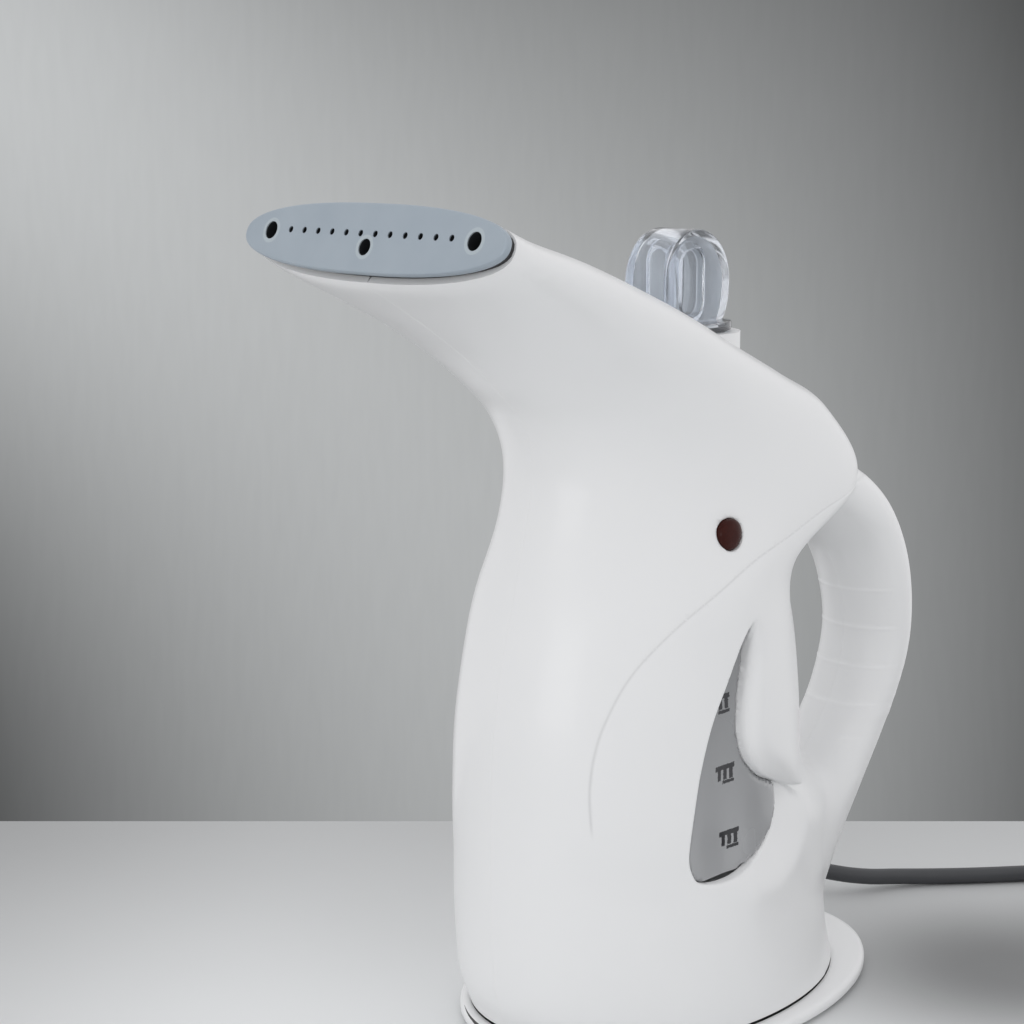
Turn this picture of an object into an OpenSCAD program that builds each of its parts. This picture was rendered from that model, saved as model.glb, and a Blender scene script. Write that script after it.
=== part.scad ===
// Handheld garment steamer: a kettle-shaped white body with a forward neck, a slotted steam plate,
// a closed rear grip, a clear filler cap on top and a mains cord from the rear of the base.
// Millimetres, +Z up, the nozzle looks along -X, the grip is at +X, feet on z = 0.

/* [Shell] */
// Wall thickness of the moulded shell halves
wall = 2.4; // [1.6:0.1:3]

/* [Steam plate] */
// Width of the steam plate across the nozzle
plate_w = 110; // [104:1:114]
// Height of the steam plate
plate_h = 20; // [18:0.5:21]
// Thickness of the steam plate
plate_t = 2.4; // [2:0.2:3.2]
// Diameter of the two locating bores at the ends
end_bore_d = 5.2; // [4.4:0.1:5.8]
// Distance between the two locating bores
end_bore_gap = 86; // [80:1:88]
// Depth of the locating bores
end_bore_depth = 6; // [4:0.5:8]
// Diameter of the latch bore under the steam holes
latch_bore_d = 4.8; // [4:0.1:5.4]
// Diameter of the steam holes
steam_hole_d = 1.9; // [1.4:0.1:2.4]
// Number of steam holes in the row
steam_holes = 12; // [8:2:12]
// Distance from one steam hole to the next
steam_pitch = 6.2; // [5:0.1:6.4]

/* [Filler] */
// Outside diameter of the white filler collar
collar_d = 39.6; // [38:0.2:42]
// Inside diameter of the threaded filler neck
neck_bore_d = 25.2; // [24:0.2:27]
// Running clearance, on the radius, between cap and neck
cap_clear = 0.35; // [0.2:0.05:0.6]
// Diameter of the cap's flange
cap_d = 34; // [32:0.5:36]
// Thickness of the cap's flange
cap_t = 3; // [2.4:0.2:4]
// Length of the grip's long side
grip_w = 30; // [26:1:31]
// Thickness of the grip
grip_t = 17; // [14:0.5:18]
// Height of the grip over the flange
grip_h = 28.5; // [24:0.5:30]

/* [Lamp] */
// Diameter of the lamp lens
lens_d = 9.6; // [8:0.2:11]

/* [Base] */
// Height of the foot ring over the table
foot_h = 5; // [4:0.2:5.4]
// Diameter of each rubber foot
foot_d = 12; // [10:0.5:14]
// Diameter of the base screws' heads
screw_head_d = 5.6; // [5:0.1:6.4]

/* [Boiler] */
// Radius of the boiler disc
boiler_r = 34; // [32:0.5:35]
// Thickness of the boiler disc
boiler_t = 3; // [2.5:0.5:4]

/* [Cord] */
// Diameter of the mains cord
cord_d = 5.8; // [5.4:0.1:6.4]
// Diameter of the plug's two pins
pin_d = 4.8; // [4.6:0.1:5]
// Distance between the plug's pins
pin_gap = 19; // [18:0.5:20]
// Length of the plug's pins
pin_l = 19; // [17:0.5:20]

/* [Hidden] */

// the body's own axis stands this far from the middle of the overall length
axis_x = -6.24;

// Body sections from the foot up and forward to the nozzle: front x, front z, rear x, rear z,
// half width, roundness at the front, roundness at the rear, place of the widest line.
body_rows = [
    [-61, 6, 76, 6, 49, 2.1, 2, 0.47],
    [-65.5, 18, 75, 20, 50, 2.1, 1.8, 0.47],
    [-67, 39, 86, 39, 50, 2.1, 1.4, 0.42],
    [-67.5, 56, 93, 55, 49.6, 2.1, 1.25, 0.41],
    [-67.5, 72, 66.5, 70, 49, 2.1, 1.55, 0.45],
    [-66.5, 98, 62.5, 98, 48, 2.1, 1.6, 0.45],
    [-63, 121, 61, 124, 46, 2.1, 1.6, 0.45],
    [-58.8, 138, 62, 146, 44.4, 2.1, 1.6, 0.46],
    [-53, 162, 95, 164, 40.5, 2.1, 1.8, 0.45],
    [-50.5, 179, 72, 190, 38.5, 2.1, 2.1, 0.45],
    [-54, 193, 46, 202.5, 39, 2.2, 2.2, 0.45],
    [-65, 204, 20, 213.5, 41, 2.2, 2.2, 0.5],
    [-76, 213.5, -7, 225, 43.5, 2.3, 2.3, 0.5],
    [-87, 221, -33, 235, plate_w / 2 - 9, 2.3, 2.3, 0.5],
    [-99, 228.5, -61, 244, plate_w / 2 - 5, 2.4, 2.4, 0.5],
    [-110, 235, -89, 251.5, plate_w / 2 - 1, 2.4, 2.4, 0.5],
    [-115, 239.5, -108, 258.5, plate_w / 2 + 0.5, 2.4, 2.4, 0.5]];
// Grip sections from the shoulder down to the foot: x, z, half depth, half width.
grip_rows = [
    [72, 162, 12, 20], [87, 153.5, 13, 19], [101, 142, 14, 18], [111, 124, 14, 17.5],
    [114.5, 103, 13.5, 17], [106.5, 80, 12, 17], [92, 60, 12.5, 18], [78, 43, 15, 19],
    [64, 28, 16, 22]];
// The level window's outline in the side wall, x and z.
window_edge = [
    [-1.8, 131], [-5.5, 127.5], [-13, 117], [-20, 105.5], [-25, 91.5], [-28, 77], [-29.5, 65],
    [-28.5, 59], [-24.3, 56], [-17.2, 55], [-5.2, 55.5], [5.3, 60], [13.9, 65], [17.9, 71],
    [18.4, 77], [7.9, 82], [-1.1, 87.5], [-5.1, 95.5], [-5.8, 104.5], [-3.6, 119.5], [-1.5, 127]];
// The edge of the soft lobe beside the window, from its top round its foot: x, z, share of full depth.
lobe_edge = [
    [-1.2, 134, -0.4], [-1.7, 125.5, 0.7], [-4, 117.5, 1], [-5.9, 106, 1], [-5.4, 97, 1],
    [-2, 89, 1], [6, 83, 1], [17.5, 78, 1], [30, 75, 0.7], [42, 75, -0.4]];
// The crease under which the shoulder tucks, from the rear forward and down the side, x and z.
crease_line = [
    [112, 160], [95, 163], [71.6, 162.4], [56, 161.6], [40.2, 159.9], [20, 155.2], [3.1, 150.8],
    [-12.9, 143.9], [-27.6, 136.2], [-38.3, 127.8], [-45.8, 118.8], [-51.5, 107.3], [-54.2, 98],
    [-55.4, 88.4], [-55.4, 75]];
// Where the ribs for the fingers lie on the inner face of the grip, x and z.
rib_spots = [[97.6, 121], [100.6, 107], [100.2, 93.5], [95.6, 81], [88.5, 70.5]];

nozzle_tilt = 20.2;
nozzle_at = [-111.5, 0, 249];
cap_x = 12.5;
collar_z = 216.3;
lamp_at = [-6, 0, 159];

function mix(a, b, c, d, t) = 0.5 * (2 * b + (c - a) * t + (2 * a - 5 * b + 4 * c - d) * t * t
    + (3 * b - 3 * c + d - a) * t * t * t);
function row_at(rows, i, t) = mix(rows[max(i - 1, 0)], rows[i], rows[i + 1],
    rows[min(i + 2, len(rows) - 1)], t);
function fill_rows(rows, sub) = concat([for (i = [0 : len(rows) - 2]) for (k = [0 : sub - 1])
    row_at(rows, i, k / sub)], [rows[len(rows) - 1]]);
function pow_s(v, e) = sign(v) * pow(abs(v), e);
function body_ring(s, inset, n) = let (
    f = [s[0], s[1]], r = [s[2], s[3]],
    m = f + (r - f) * s[7],
    lf = norm(m - f), lr = norm(r - m),
    df = (m - f) / lf, dr = (r - m) / lr)
    [for (k = [0 : n - 1]) let (t = 360 * k / n, back = cos(t) >= 0, e = back ? s[6] : s[5],
        u = pow_s(cos(t), 2 / e), v = pow_s(sin(t), 2 / e) * (s[4] - inset),
        p = m + (back ? dr * (lr - inset) : df * (lf - inset)) * u) [p[0], v, p[1]]];
function grip_ring(a, s, b, inset, n) = let (d = [b[0] - a[0], b[1] - a[1]], l = norm(d),
    q = [-d[1], d[0]] / l * (d[1] > 0 ? -1 : 1))
    [for (k = [0 : n - 1]) let (t = 360 * k / n, h = (s[2] - inset) * cos(t))
        [s[0] + q[0] * h, (inset - s[3]) * sin(t), s[1] + q[1] * h]];

// A closed skin over rings of points, with flat ends.
module skin(rings) {
    n = len(rings[0]);
    m = len(rings);
    pts = [for (r = rings) for (p = r) p];
    sides = [for (i = [0 : m - 2]) for (j = [0 : n - 1]) let (k = (j + 1) % n)
        each [[i * n + j, (i + 1) * n + j, (i + 1) * n + k], [i * n + j, (i + 1) * n + k, i * n + k]]];
    first = [for (j = [0 : n - 1]) j];
    last = [for (j = [0 : n - 1]) (m - 1) * n + n - 1 - j];
    polyhedron(points = pts, faces = concat(sides, [first], [last]), convexity = 8);
}
module body_form(inset, sub, n, from = 0, to = 16) {
    rows = [for (i = [from : to]) body_rows[i]];
    skin([for (s = fill_rows(rows, sub)) body_ring(s, inset, n)]);
}
module grip_form(inset, sub, n) {
    rows = fill_rows(grip_rows, sub);
    skin([for (i = [0 : len(rows) - 1]) grip_ring(rows[max(i - 1, 0)], rows[i],
        rows[min(i + 1, len(rows) - 1)], inset, n)]);
}
module placed() {
    translate([axis_x, 0, 0]) children();
}
module at_nozzle() {
    translate(nozzle_at) rotate([0, -(90 - nozzle_tilt), 0]) children();
}
module plate_outline(inset) {
    a = plate_h / 2 - inset;
    b = plate_w / 2 - inset;
    polygon([for (k = [0 : 47]) let (t = 7.5 * k) [a * pow_s(cos(t), 2 / 2.4), b * pow_s(sin(t), 2 / 2.4)]]);
}
module oval(front, rear, half, n = 48) {
    polygon([for (k = [0 : n - 1]) let (t = 360 * k / n, u = cos(t)) [u >= 0 ? rear * u : front * u,
        half * sin(t)]]);
}

// Shell halves
module shell_solid() {
    difference() {
        union() {
            difference() {
                body_form(0, 2, 32);
                shoulder_tuck();
                for (s = [0, 1]) mirror([0, s, 0]) side_relief(0);
            }
            grip_form(0, 2, 14);
            translate([cap_x, 0, 196]) cylinder(h = collar_z - 196, d = collar_d, $fn = 40);
        }
        for (p = rib_spots) translate([p[0], 0, p[1]]) cube([1.6, 26, 1.4], center = true);
        translate([cap_x, 0, collar_z]) cylinder(h = 30, d = collar_d + 1.4, $fn = 40);
        translate([cap_x, 0, 170]) cylinder(h = 60, r = neck_bore_d / 2 + 3, $fn = 32);
        inner_room();
        at_nozzle() translate([-30, -80, -3.2]) cube([60, 160, 30]);
        translate([60, 26, 20]) rotate([0, 94, 32]) cylinder(h = 40, r = 5.6, center = true, $fn = 24);
    }
}
// The open underside, a little below the shell's lower edge.
mouth_row = [-60.6, 4, 75.4, 4, 48.8, 2.1, 2, 0.47];
module inner_room() {
    difference() {
        union() {
            skin([for (s = concat([mouth_row], body_rows)) body_ring(s, wall, 24)]);
            difference() {
                grip_form(wall, 1, 12);
                translate([40, -40, 0]) cube([80, 80, 36]);
            }
        }
        for (s = [0, 1]) mirror([0, s, 0]) side_relief(wall);
        for (p = boss_spots) boss(p);
        for (p = pillars) translate([p[0], p[1], 8.2]) cylinder(h = 24, r = 4.6, $fn = 14);
    }
}
// How far the shoulder lies under the grip's side panel, by height.
function tuck_at(z) = max(0, min((z - 75) / 90, (192 - z) / 30, 0.95));
// What is taken off above the crease, down to a slightly smaller form.
module shoulder_tuck() {
    difference() {
        rotate([90, 0, 0]) linear_extrude(160, center = true)
            polygon(concat(crease_line, [[-90, 75], [-90, 192], [120, 192]]));
        skin([for (s = fill_rows(body_rows, 2)) body_ring(s, tuck_at((s[1] + s[3]) / 2), 32)]);
    }
}
// The right side wall's place y at x and z, for heights up to the shoulder.
function along(z, i, k) = lookup(z, [for (r = body_rows) [r[k], r[i]]]);
function side_y(x, z) = let (f = along(z, 0, 1), r = along(z, 2, 3), m = f + (r - f) * along(z, 7, 3),
    back = x > m, e = along(z, back ? 6 : 5, 3), u = abs(x - m) / (back ? r - m : m - f))
    -along(z, 4, 3) * pow(max(0.02, 1 - pow(min(u, 0.98), e)), 1 / e);
// The lobe's rolled edge: how far in from the edge, and what share of the full depth it has sunk there.
roll_w = 8.5;
roll_h = 4.6;
function sunk_at(d) = 1 - sqrt(1 - pow(1 - d / roll_w, 2));
// The right side's relief: the lobe's rolled edge and the scoop under its foot, thickened by more.
module side_relief(more) {
    ways = [for (p = lobe_edge) [p[0], p[1]]];
    last = len(ways) - 1;
    skin([for (i = [0 : last]) let (d = unit(ways[min(i + 1, last)] - ways[max(i - 1, 0)]),
        n = [-d[1], d[0]], h = roll_h * lobe_edge[i][2] + more)
        [for (q = [[-3 - more, -5], [-3 - more, h], [0.3, h], [0.8, mix_depth(0.8, h, more)],
            [2.4, mix_depth(2.4, h, more)], [roll_w, more - 1.3], [roll_w + 2, -5]])
            let (x = ways[i][0] + n[0] * q[0], z = ways[i][1] + n[1] * q[0]) [x, side_y(x, z) + q[1], z]]]);
    intersection() {
        translate([12, side_y(12, 70), 70]) rotate([0, 0, 14]) translate([0, -11, 0])
            scale([48 + more, 16.6 + more, 27 + more]) sphere(r = 1, $fn = 32);
        translate([0, -30, 0]) rotate([90, 0, 0]) linear_extrude(40)
            polygon(concat([for (p = lobe_edge) [p[0] + 0.7 + more, p[1] - 1.4 + more]],
                [[66, 78], [66, 30], [-4 - 2 * more, 30], [-20 - 2 * more, 60], [-18 - 2 * more, 90]]));
    }
}
function mix_depth(d, h, more) = more + (h - more) * sunk_at(d);
boss_spots = [[88, 50], [80, 160], [-60, 211], [-52, 26]];
pillars = [[-42, 33], [-42, -33], [44, 33.4], [44, -33.4]];
module boss(p) {
    translate([p[0], 0, p[1]]) rotate([90, 0, 0]) cylinder(h = 120, r = 3.8, center = true, $fn = 14);
}
module one_half(side) {
    resize([0, 0, 0]) difference() {
        intersection() {
            shell_solid();
            translate([-150, side > 0 ? 0 : -80, 0]) cube([300, 80, 300]);
        }
        translate([0, side * 45, 0]) rotate([90, 0, 0]) linear_extrude(30, center = true) polygon(window_edge);
        if (side < 0) lamp_hole();
        for (p = boss_spots) screw_way(p, side);
        for (p = pillars) translate([p[0], p[1], 0]) cylinder(h = 22, r = 1.5, $fn = 14);
    }
}
module lamp_hole() {
    translate(lamp_at) rotate([90, 0, 0]) cylinder(h = 60, d = lens_d + 0.3, $fn = 32);
}
module screw_way(p, side) {
    translate([p[0], 0, p[1]]) rotate([side > 0 ? -90 : 90, 0, 0]) {
        translate([0, 0, -1]) cylinder(h = 11, r = 1.5, $fn = 14);
        if (side > 0) translate([0, 0, 6]) cylinder(h = 80, d = screw_head_d + 0.4, $fn = 16);
    }
}
module right_housing() {
    color([0.93, 0.93, 0.93]) placed() one_half(-1);
}
module left_housing() {
    color([0.93, 0.93, 0.93]) placed() one_half(1);
}
module housing_screws() {
    color([0.7, 0.7, 0.72]) placed() for (p = boss_spots) translate([p[0], 0, p[1]]) rotate([-90, 0, 0]) {
        translate([0, 0, -9.5]) cylinder(h = 15.5, r = 1.5, $fn = 20);
        translate([0, 0, 6]) cylinder(h = 2.4, d = screw_head_d, $fn = 20);
    }
}

// Base
foot_mid = 8;
foot_front = 73;
foot_rear = 84;
foot_half = 54.5;
module foot_outline(inset = 0) {
    translate([foot_mid, 0]) oval(foot_front - inset, foot_rear - inset, foot_half - inset, 60);
}
module plate_under(inset) {
    edge = body_rows[0];
    oval(-edge[0] - inset, edge[2] - inset, edge[4] - inset, 48);
}
module foot_ring() {
    color([0.9, 0.9, 0.9]) placed() difference() {
        union() {
            translate([0, 0, 1.4]) linear_extrude(foot_h - 2.4) foot_outline();
            translate([0, 0, foot_h - 1]) linear_extrude(1) foot_outline(1);
        }
        translate([0, 0, -1]) linear_extrude(20) translate([4, 0]) oval(44, 52, 27, 40);
        for (p = feet_spots) translate([p[0], p[1], 0]) cylinder(h = 2.6, d = foot_d, $fn = 32);
        for (p = pillars) translate([p[0], p[1], 0]) {
            cylinder(h = 3.2, d = screw_head_d + 0.6, $fn = 24);
            cylinder(h = 9, r = 1.7, $fn = 24);
        }
    }
}
feet_spots = [[-53, 0], [72, 0], [12, 40], [12, -40]];
module rubber_feet() {
    color([0.15, 0.15, 0.15]) placed() for (p = feet_spots) translate([p[0], p[1], 0])
        cylinder(h = 2.6, d = foot_d, $fn = 32);
}
module base_plate() {
    color([0.25, 0.25, 0.26]) placed() difference() {
        union() {
            translate([0, 0, foot_h]) linear_extrude(3) plate_under(wall + 1);
            translate([42, 15, foot_h + 3]) rotate([0, 0, 32]) translate([-5, -10, 0])
                cube([10, 20, 17.2 - foot_h - 3]);
            for (x = [-26, 26]) translate([x, 0, foot_h + 3]) cylinder(h = 31.5 - foot_h - 3, r = 3.2, $fn = 24);
        }
        for (p = pillars) translate([p[0], p[1], 0]) cylinder(h = 12, r = 1.7, $fn = 24);
        for (p = clamp_spots()) translate([p[0], p[1], 10]) cylinder(h = 12, r = 1.5, $fn = 20);
    }
}
function clamp_spots() = [for (s = [-1, 1]) [42 - 6.6 * s * sin(32), 15 + 6.6 * s * cos(32)]];
module base_screws() {
    color([0.7, 0.7, 0.72]) placed() for (p = pillars) translate([p[0], p[1], 0]) {
        translate([0, 0, 1.4]) cylinder(h = 1.8, d = screw_head_d, $fn = 24);
        translate([0, 0, 3.2]) cylinder(h = 18, r = 1.5, $fn = 16);
    }
}

// Nozzle
module steam_plate() {
    front = 0.8;
    color([0.62, 0.68, 0.72]) placed() at_nozzle() difference() {
        union() {
            translate([0, 0, -1.6]) linear_extrude(plate_t - 0.8) plate_outline(0);
            translate([0, 0, plate_t - 2.4]) linear_extrude(0.8) plate_outline(0.7);
            translate([0, 0, -6]) linear_extrude(5) difference() {
                plate_outline(3.2);
                plate_outline(4.4);
            }
            for (s = [-1, 1]) translate([0.7, s * end_bore_gap / 2, -7.4])
                cylinder(h = 6.4, d = end_bore_d + 3, $fn = 32);
            translate([-2.6, 0, -6]) cylinder(h = 5, d = latch_bore_d + 2.6, $fn = 32);
        }
        for (s = [-1, 1]) translate([0.7, s * end_bore_gap / 2, plate_t - 1.6 - end_bore_depth])
            cylinder(h = end_bore_depth + 1, d = end_bore_d, $fn = 32);
        translate([-2.6, 0, plate_t - 1.6 - 4.4]) cylinder(h = 6, d = latch_bore_d, $fn = 32);
        for (i = [0 : steam_holes - 1]) translate([1.2, (i - (steam_holes - 1) / 2) * steam_pitch, -10])
            cylinder(h = 14, d = steam_hole_d, $fn = 16);
    }
}
module nozzle_gasket() {
    color([0.1, 0.1, 0.1]) placed() at_nozzle() translate([0, 0, -3.2]) linear_extrude(1.6) difference() {
        plate_outline(0.9);
        plate_outline(3.2);
        for (s = [-1, 1]) translate([0.7, s * end_bore_gap / 2]) circle(d = end_bore_d + 3.4, $fn = 32);
    }
}
module steam_baffle() {
    color([0.75, 0.75, 0.76]) placed() at_nozzle() translate([0, 0, -15]) linear_extrude(1.2) difference() {
        plate_outline(4.6);
        for (i = [-4 : 4]) translate([-3, i * 9.5 - 2]) square([6, 4]);
    }
}
tube_x = -27.4;
tube_bend_z = 205.5;
module tube_ring(r1, r2) {
    difference() {
        circle(r = r1, $fn = 24);
        circle(r = r2, $fn = 24);
    }
}
bend_r = 18;
tube_way = concat([[tube_x, 0, 143]],
    [for (k = [0 : 5]) let (t = (90 - nozzle_tilt) * k / 5)
        [tube_x - bend_r + bend_r * cos(t), 0, tube_bend_z + bend_r * sin(t)]],
    [[nozzle_at[0] + 15 * cos(nozzle_tilt), 0, nozzle_at[2] - 15 * sin(nozzle_tilt)]]);
module steam_tube() {
    color([0.85, 0.85, 0.83]) placed() pipe_along(tube_way, 7, 5.4, 16, [0, 1, 0]);
}
module tube_collar() {
    color([0.8, 0.35, 0.2]) placed() translate([tube_x, 0, 146.5]) linear_extrude(8) tube_ring(9.6, 7);
}

// Filler
module filler_neck() {
    color([0.9, 0.9, 0.9]) placed() translate([cap_x, 0, lid_z + 3]) difference() {
        union() {
            cylinder(h = collar_z - lid_z - 3, r = neck_bore_d / 2 + 2.8, $fn = 48);
            cylinder(h = 2, r = neck_bore_d / 2 + 5.6, $fn = 48);
        }
        translate([0, 0, -1]) cylinder(h = collar_z, d = neck_bore_d, $fn = 48);
    }
}
module filler_cap() {
    r = neck_bore_d / 2 - cap_clear;
    color([0.8, 0.85, 0.9, 0.4]) placed() translate([cap_x, 0, collar_z + 0.3]) difference() {
        union() {
            cylinder(h = cap_t, d = cap_d, $fn = 48);
            translate([0, 0, -12.3]) cylinder(h = 12.8, r = r, $fn = 48);
            translate([0, grip_t / 2, cap_t - 0.2]) rotate([90, 0, 0]) linear_extrude(grip_t) grip_outline(0);
        }
        translate([0, 0, -13]) cylinder(h = 13.4, r = r - 1.8, $fn = 48);
        difference() {
            translate([0, 0, -1]) cylinder(h = 2.2, r = 15.9, $fn = 48);
            translate([0, 0, -2]) cylinder(h = 4, r = 13, $fn = 48);
        }
        for (s = [-1, 1]) translate([-2, s * (grip_t / 2 - 1.2), cap_t]) rotate([90, 0, 0])
            linear_extrude(5, center = true) finger_slot();
    }
}
module grip_outline(inset) {
    intersection() {
        translate([-grip_w, 0]) square([2 * grip_w, 60]);
        polygon([for (k = [0 : 47]) let (t = 7.5 * k) [(grip_w / 2 - inset) * pow_s(cos(t), 2 / 2.4),
            12 + (sin(t) > 0 ? grip_h - 12 - inset : 17) * pow_s(sin(t), 2 / 2.4)]]);
    }
}
module finger_slot() {
    translate([0, 6.5]) circle(r = 5, $fn = 24);
    translate([-5, 6.5]) square([10, 11]);
    translate([0, 17.5]) circle(r = 5, $fn = 24);
}
module cap_seal() {
    color([0.15, 0.15, 0.16]) placed() translate([cap_x, 0, collar_z]) difference() {
        cylinder(h = 1.5, r = 15.4, $fn = 48);
        translate([0, 0, -1]) cylinder(h = 4, r = 13.2, $fn = 48);
    }
}

// Tank and boiler
// The height of the seam between the moulded tank and its lid
lid_z = 138.5;
module water_tank() {
    color([0.55, 0.57, 0.6, 0.5]) placed() resize([0, 0, 0]) difference() {
        difference() {
            tank_form(wall + 0.7, 0, lid_z);
            for (s = [0, 1]) mirror([0, s, 0]) side_relief(wall + 0.7);
        }
        difference() {
            tank_form(wall + 2.7, 2, 150);
            for (s = [0, 1]) mirror([0, s, 0]) side_relief(wall + 2.7);
        }
        translate([0, 0, 30]) cylinder(h = 20, r = 28, $fn = 40);
    }
}
module tank_form(inset, lift, top) {
    intersection() {
        body_form(inset, 1, 24, 1, 8);
        translate([-80, -80, 36 + lift]) cube([142 - lift, 160, top - 36 - lift]);
    }
}
// the section at the seam, with a little room inside the shell
lid_row = [-57.8, 140, 60.5, 140, 43.8, 2.1, 1.6, 0.46];
module lid_outline(inset) {
    intersection() {
        polygon([for (p = body_ring(lid_row, wall + 1.3 + inset, 24)) [p[0], p[1]]]);
        translate([-80, -80]) square([140.6 - inset, 160]);
    }
}
module tank_lid() {
    color([0.55, 0.57, 0.6, 0.5]) placed() difference() {
        union() {
            translate([0, 0, lid_z]) linear_extrude(3) lid_outline(0);
            translate([0, 0, lid_z - 2.5]) linear_extrude(2.5) difference() {
                lid_outline(2.2);
                lid_outline(3.4);
            }
            translate([tube_x, 0, lid_z + 3]) cylinder(h = 143 - lid_z - 3, r = 7, $fn = 32);
        }
        translate([cap_x, 0, 120]) cylinder(h = 40, d = neck_bore_d, $fn = 48);
        translate([tube_x, 0, 120]) cylinder(h = 40, r = 5.4, $fn = 32);
    }
}
module tank_seal() {
    color([0.75, 0.3, 0.2]) placed() translate([0, 0, 34.5]) difference() {
        cylinder(h = 1.5, r = 30.4, $fn = 48);
        translate([0, 0, -1]) cylinder(h = 4, r = 28.4, $fn = 48);
    }
}
module boiler_disc() {
    color([0.72, 0.73, 0.74]) placed() difference() {
        union() {
            translate([0, 0, 34.5 - boiler_t]) cylinder(h = boiler_t, r = boiler_r, $fn = 48);
            translate([0, 0, 34.5]) cylinder(h = 3, r = 27.4, $fn = 48);
        }
        for (a = [45 : 90 : 315]) rotate([0, 0, a]) translate([32, 0, 20]) cylinder(h = 20, r = 1.2, $fn = 16);
    }
}
module boiler_screws() {
    color([0.7, 0.7, 0.72]) placed() for (a = [45 : 90 : 315]) rotate([0, 0, a]) translate([32, 0, 0]) {
        translate([0, 0, 34.5 - boiler_t - 1.6]) cylinder(h = 1.6, r = 2.2, $fn = 16);
        translate([0, 0, 34.5 - boiler_t]) cylinder(h = boiler_t + 1.5, r = 1.2, $fn = 16);
    }
}
module heating_element() {
    color([0.5, 0.5, 0.52]) placed() {
        translate([0, 0, 34.5 - boiler_t - 3]) rotate([0, 0, 30]) rotate_extrude(angle = 300, $fn = 32)
            translate([18.5, 0]) circle(r = 3, $fn = 16);
        for (a = [30, 330]) rotate([0, 0, a]) translate([18.5, 0, 20]) cylinder(h = 9, r = 1.4, $fn = 16);
    }
}
module thermostat() {
    color([0.2, 0.2, 0.2]) placed() {
        translate([0, 0, 34.5 - boiler_t - 7]) cylinder(h = 7, r = 8, $fn = 32);
        for (s = [-1, 1]) translate([-2, s * 5 - 0.4, 19.5]) cube([4, 0.8, 5.2]);
    }
}
module thermal_fuse() {
    color([0.85, 0.8, 0.65]) placed() translate([-11, -6, 34.5 - boiler_t - 2]) rotate([-90, 0, 0])
        cylinder(h = 12, r = 2, $fn = 20);
}
module terminal_block() {
    color([0.88, 0.87, 0.82]) placed() translate([8, 14, foot_h + 3]) difference() {
        cube([24, 10, 9]);
        for (i = [0 : 2]) translate([4 + 8 * i, 5, 4]) cylinder(h = 6, r = 2.2, $fn = 16);
    }
}

// Lamp
module lamp_lens() {
    color([0.35, 0.06, 0.05]) placed() translate([lamp_at[0], -40.4, lamp_at[2]]) rotate([-90, 0, 0]) union() {
        cylinder(h = 7.4, d = lens_d, $fn = 32);
        translate([0, 0, -0.6]) cylinder(h = 0.6, r1 = lens_d / 2 - 1.2, r2 = lens_d / 2, $fn = 32);
    }
}
module indicator_lamp() {
    color([0.9, 0.5, 0.3]) placed() translate([lamp_at[0], -33, lamp_at[2]]) rotate([-90, 0, 0])
        cylinder(h = 11, r = 2.6, $fn = 20);
}
module lamp_clip() {
    color([0.2, 0.2, 0.2]) placed() translate([lamp_at[0], -35.1, lamp_at[2]]) rotate([-90, 0, 0])
        linear_extrude(2) tube_ring(6.8, lens_d / 2);
}

// Mains cord
cord_r = cord_d / 2;
tie_t = 0.8;
// how much further out the outermost turn lies than the innermost
turn_span = 21.5;
coil_mean = 33;
coil_at = [190, -90, tie_t + cord_d];
cord_way = [
    [40, 13.5, 21.4], [50, 19.8, 20.7], [60, 26, 20], [70, 32.3, 19.2], [80, 38, 18.2], [91, 40, 16.4],
    [100, 34, 14], [108, 24, 11], [117, 15, 8.2], [128, 8, 5.6], [141, 2, 3.9], [153, -6, 3.1],
    [165, -15.5, 2.95], [179, -26, 2.95], [192, -36, 3.1], [205, -46.2, 3.5], [216.3, -55, 3.7]];
tail_way = [[190, -133.75, 9.5], [180, -133.5, 9.4], [170, -131.7, 9], [161, -129, 8.5],
    [153, -127.2, 8.2], [145, -127, 8.2]];
plug_at = [126, -127, 8.2];

function unit(v) = v / norm(v);
function way_at(w, i, t) = mix(w[max(i - 1, 0)], w[i], w[i + 1], w[min(i + 2, len(w) - 1)], t);
function fill_way(w, sub) = concat([for (i = [0 : len(w) - 2]) for (k = [0 : sub - 1])
    way_at(w, i, k / sub)], [w[len(w) - 1]]);
// The point beside step i of a way that never runs along ref, at angle a round it.
function beside(way, i, r, a, ref) = let (
    d = unit(way[min(i + 1, len(way) - 1)] - way[max(i - 1, 0)]),
    side = unit(cross(d, ref)), up = cross(side, d)) way[i] + r * (cos(a) * side + sin(a) * up);
// A round cord along a way.
module cord_along(way, r, n, ref = [0, 0, 1]) {
    skin([for (i = [0 : len(way) - 1]) [for (k = [0 : n - 1]) beside(way, i, r, -360 * k / n, ref)]]);
}
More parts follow.
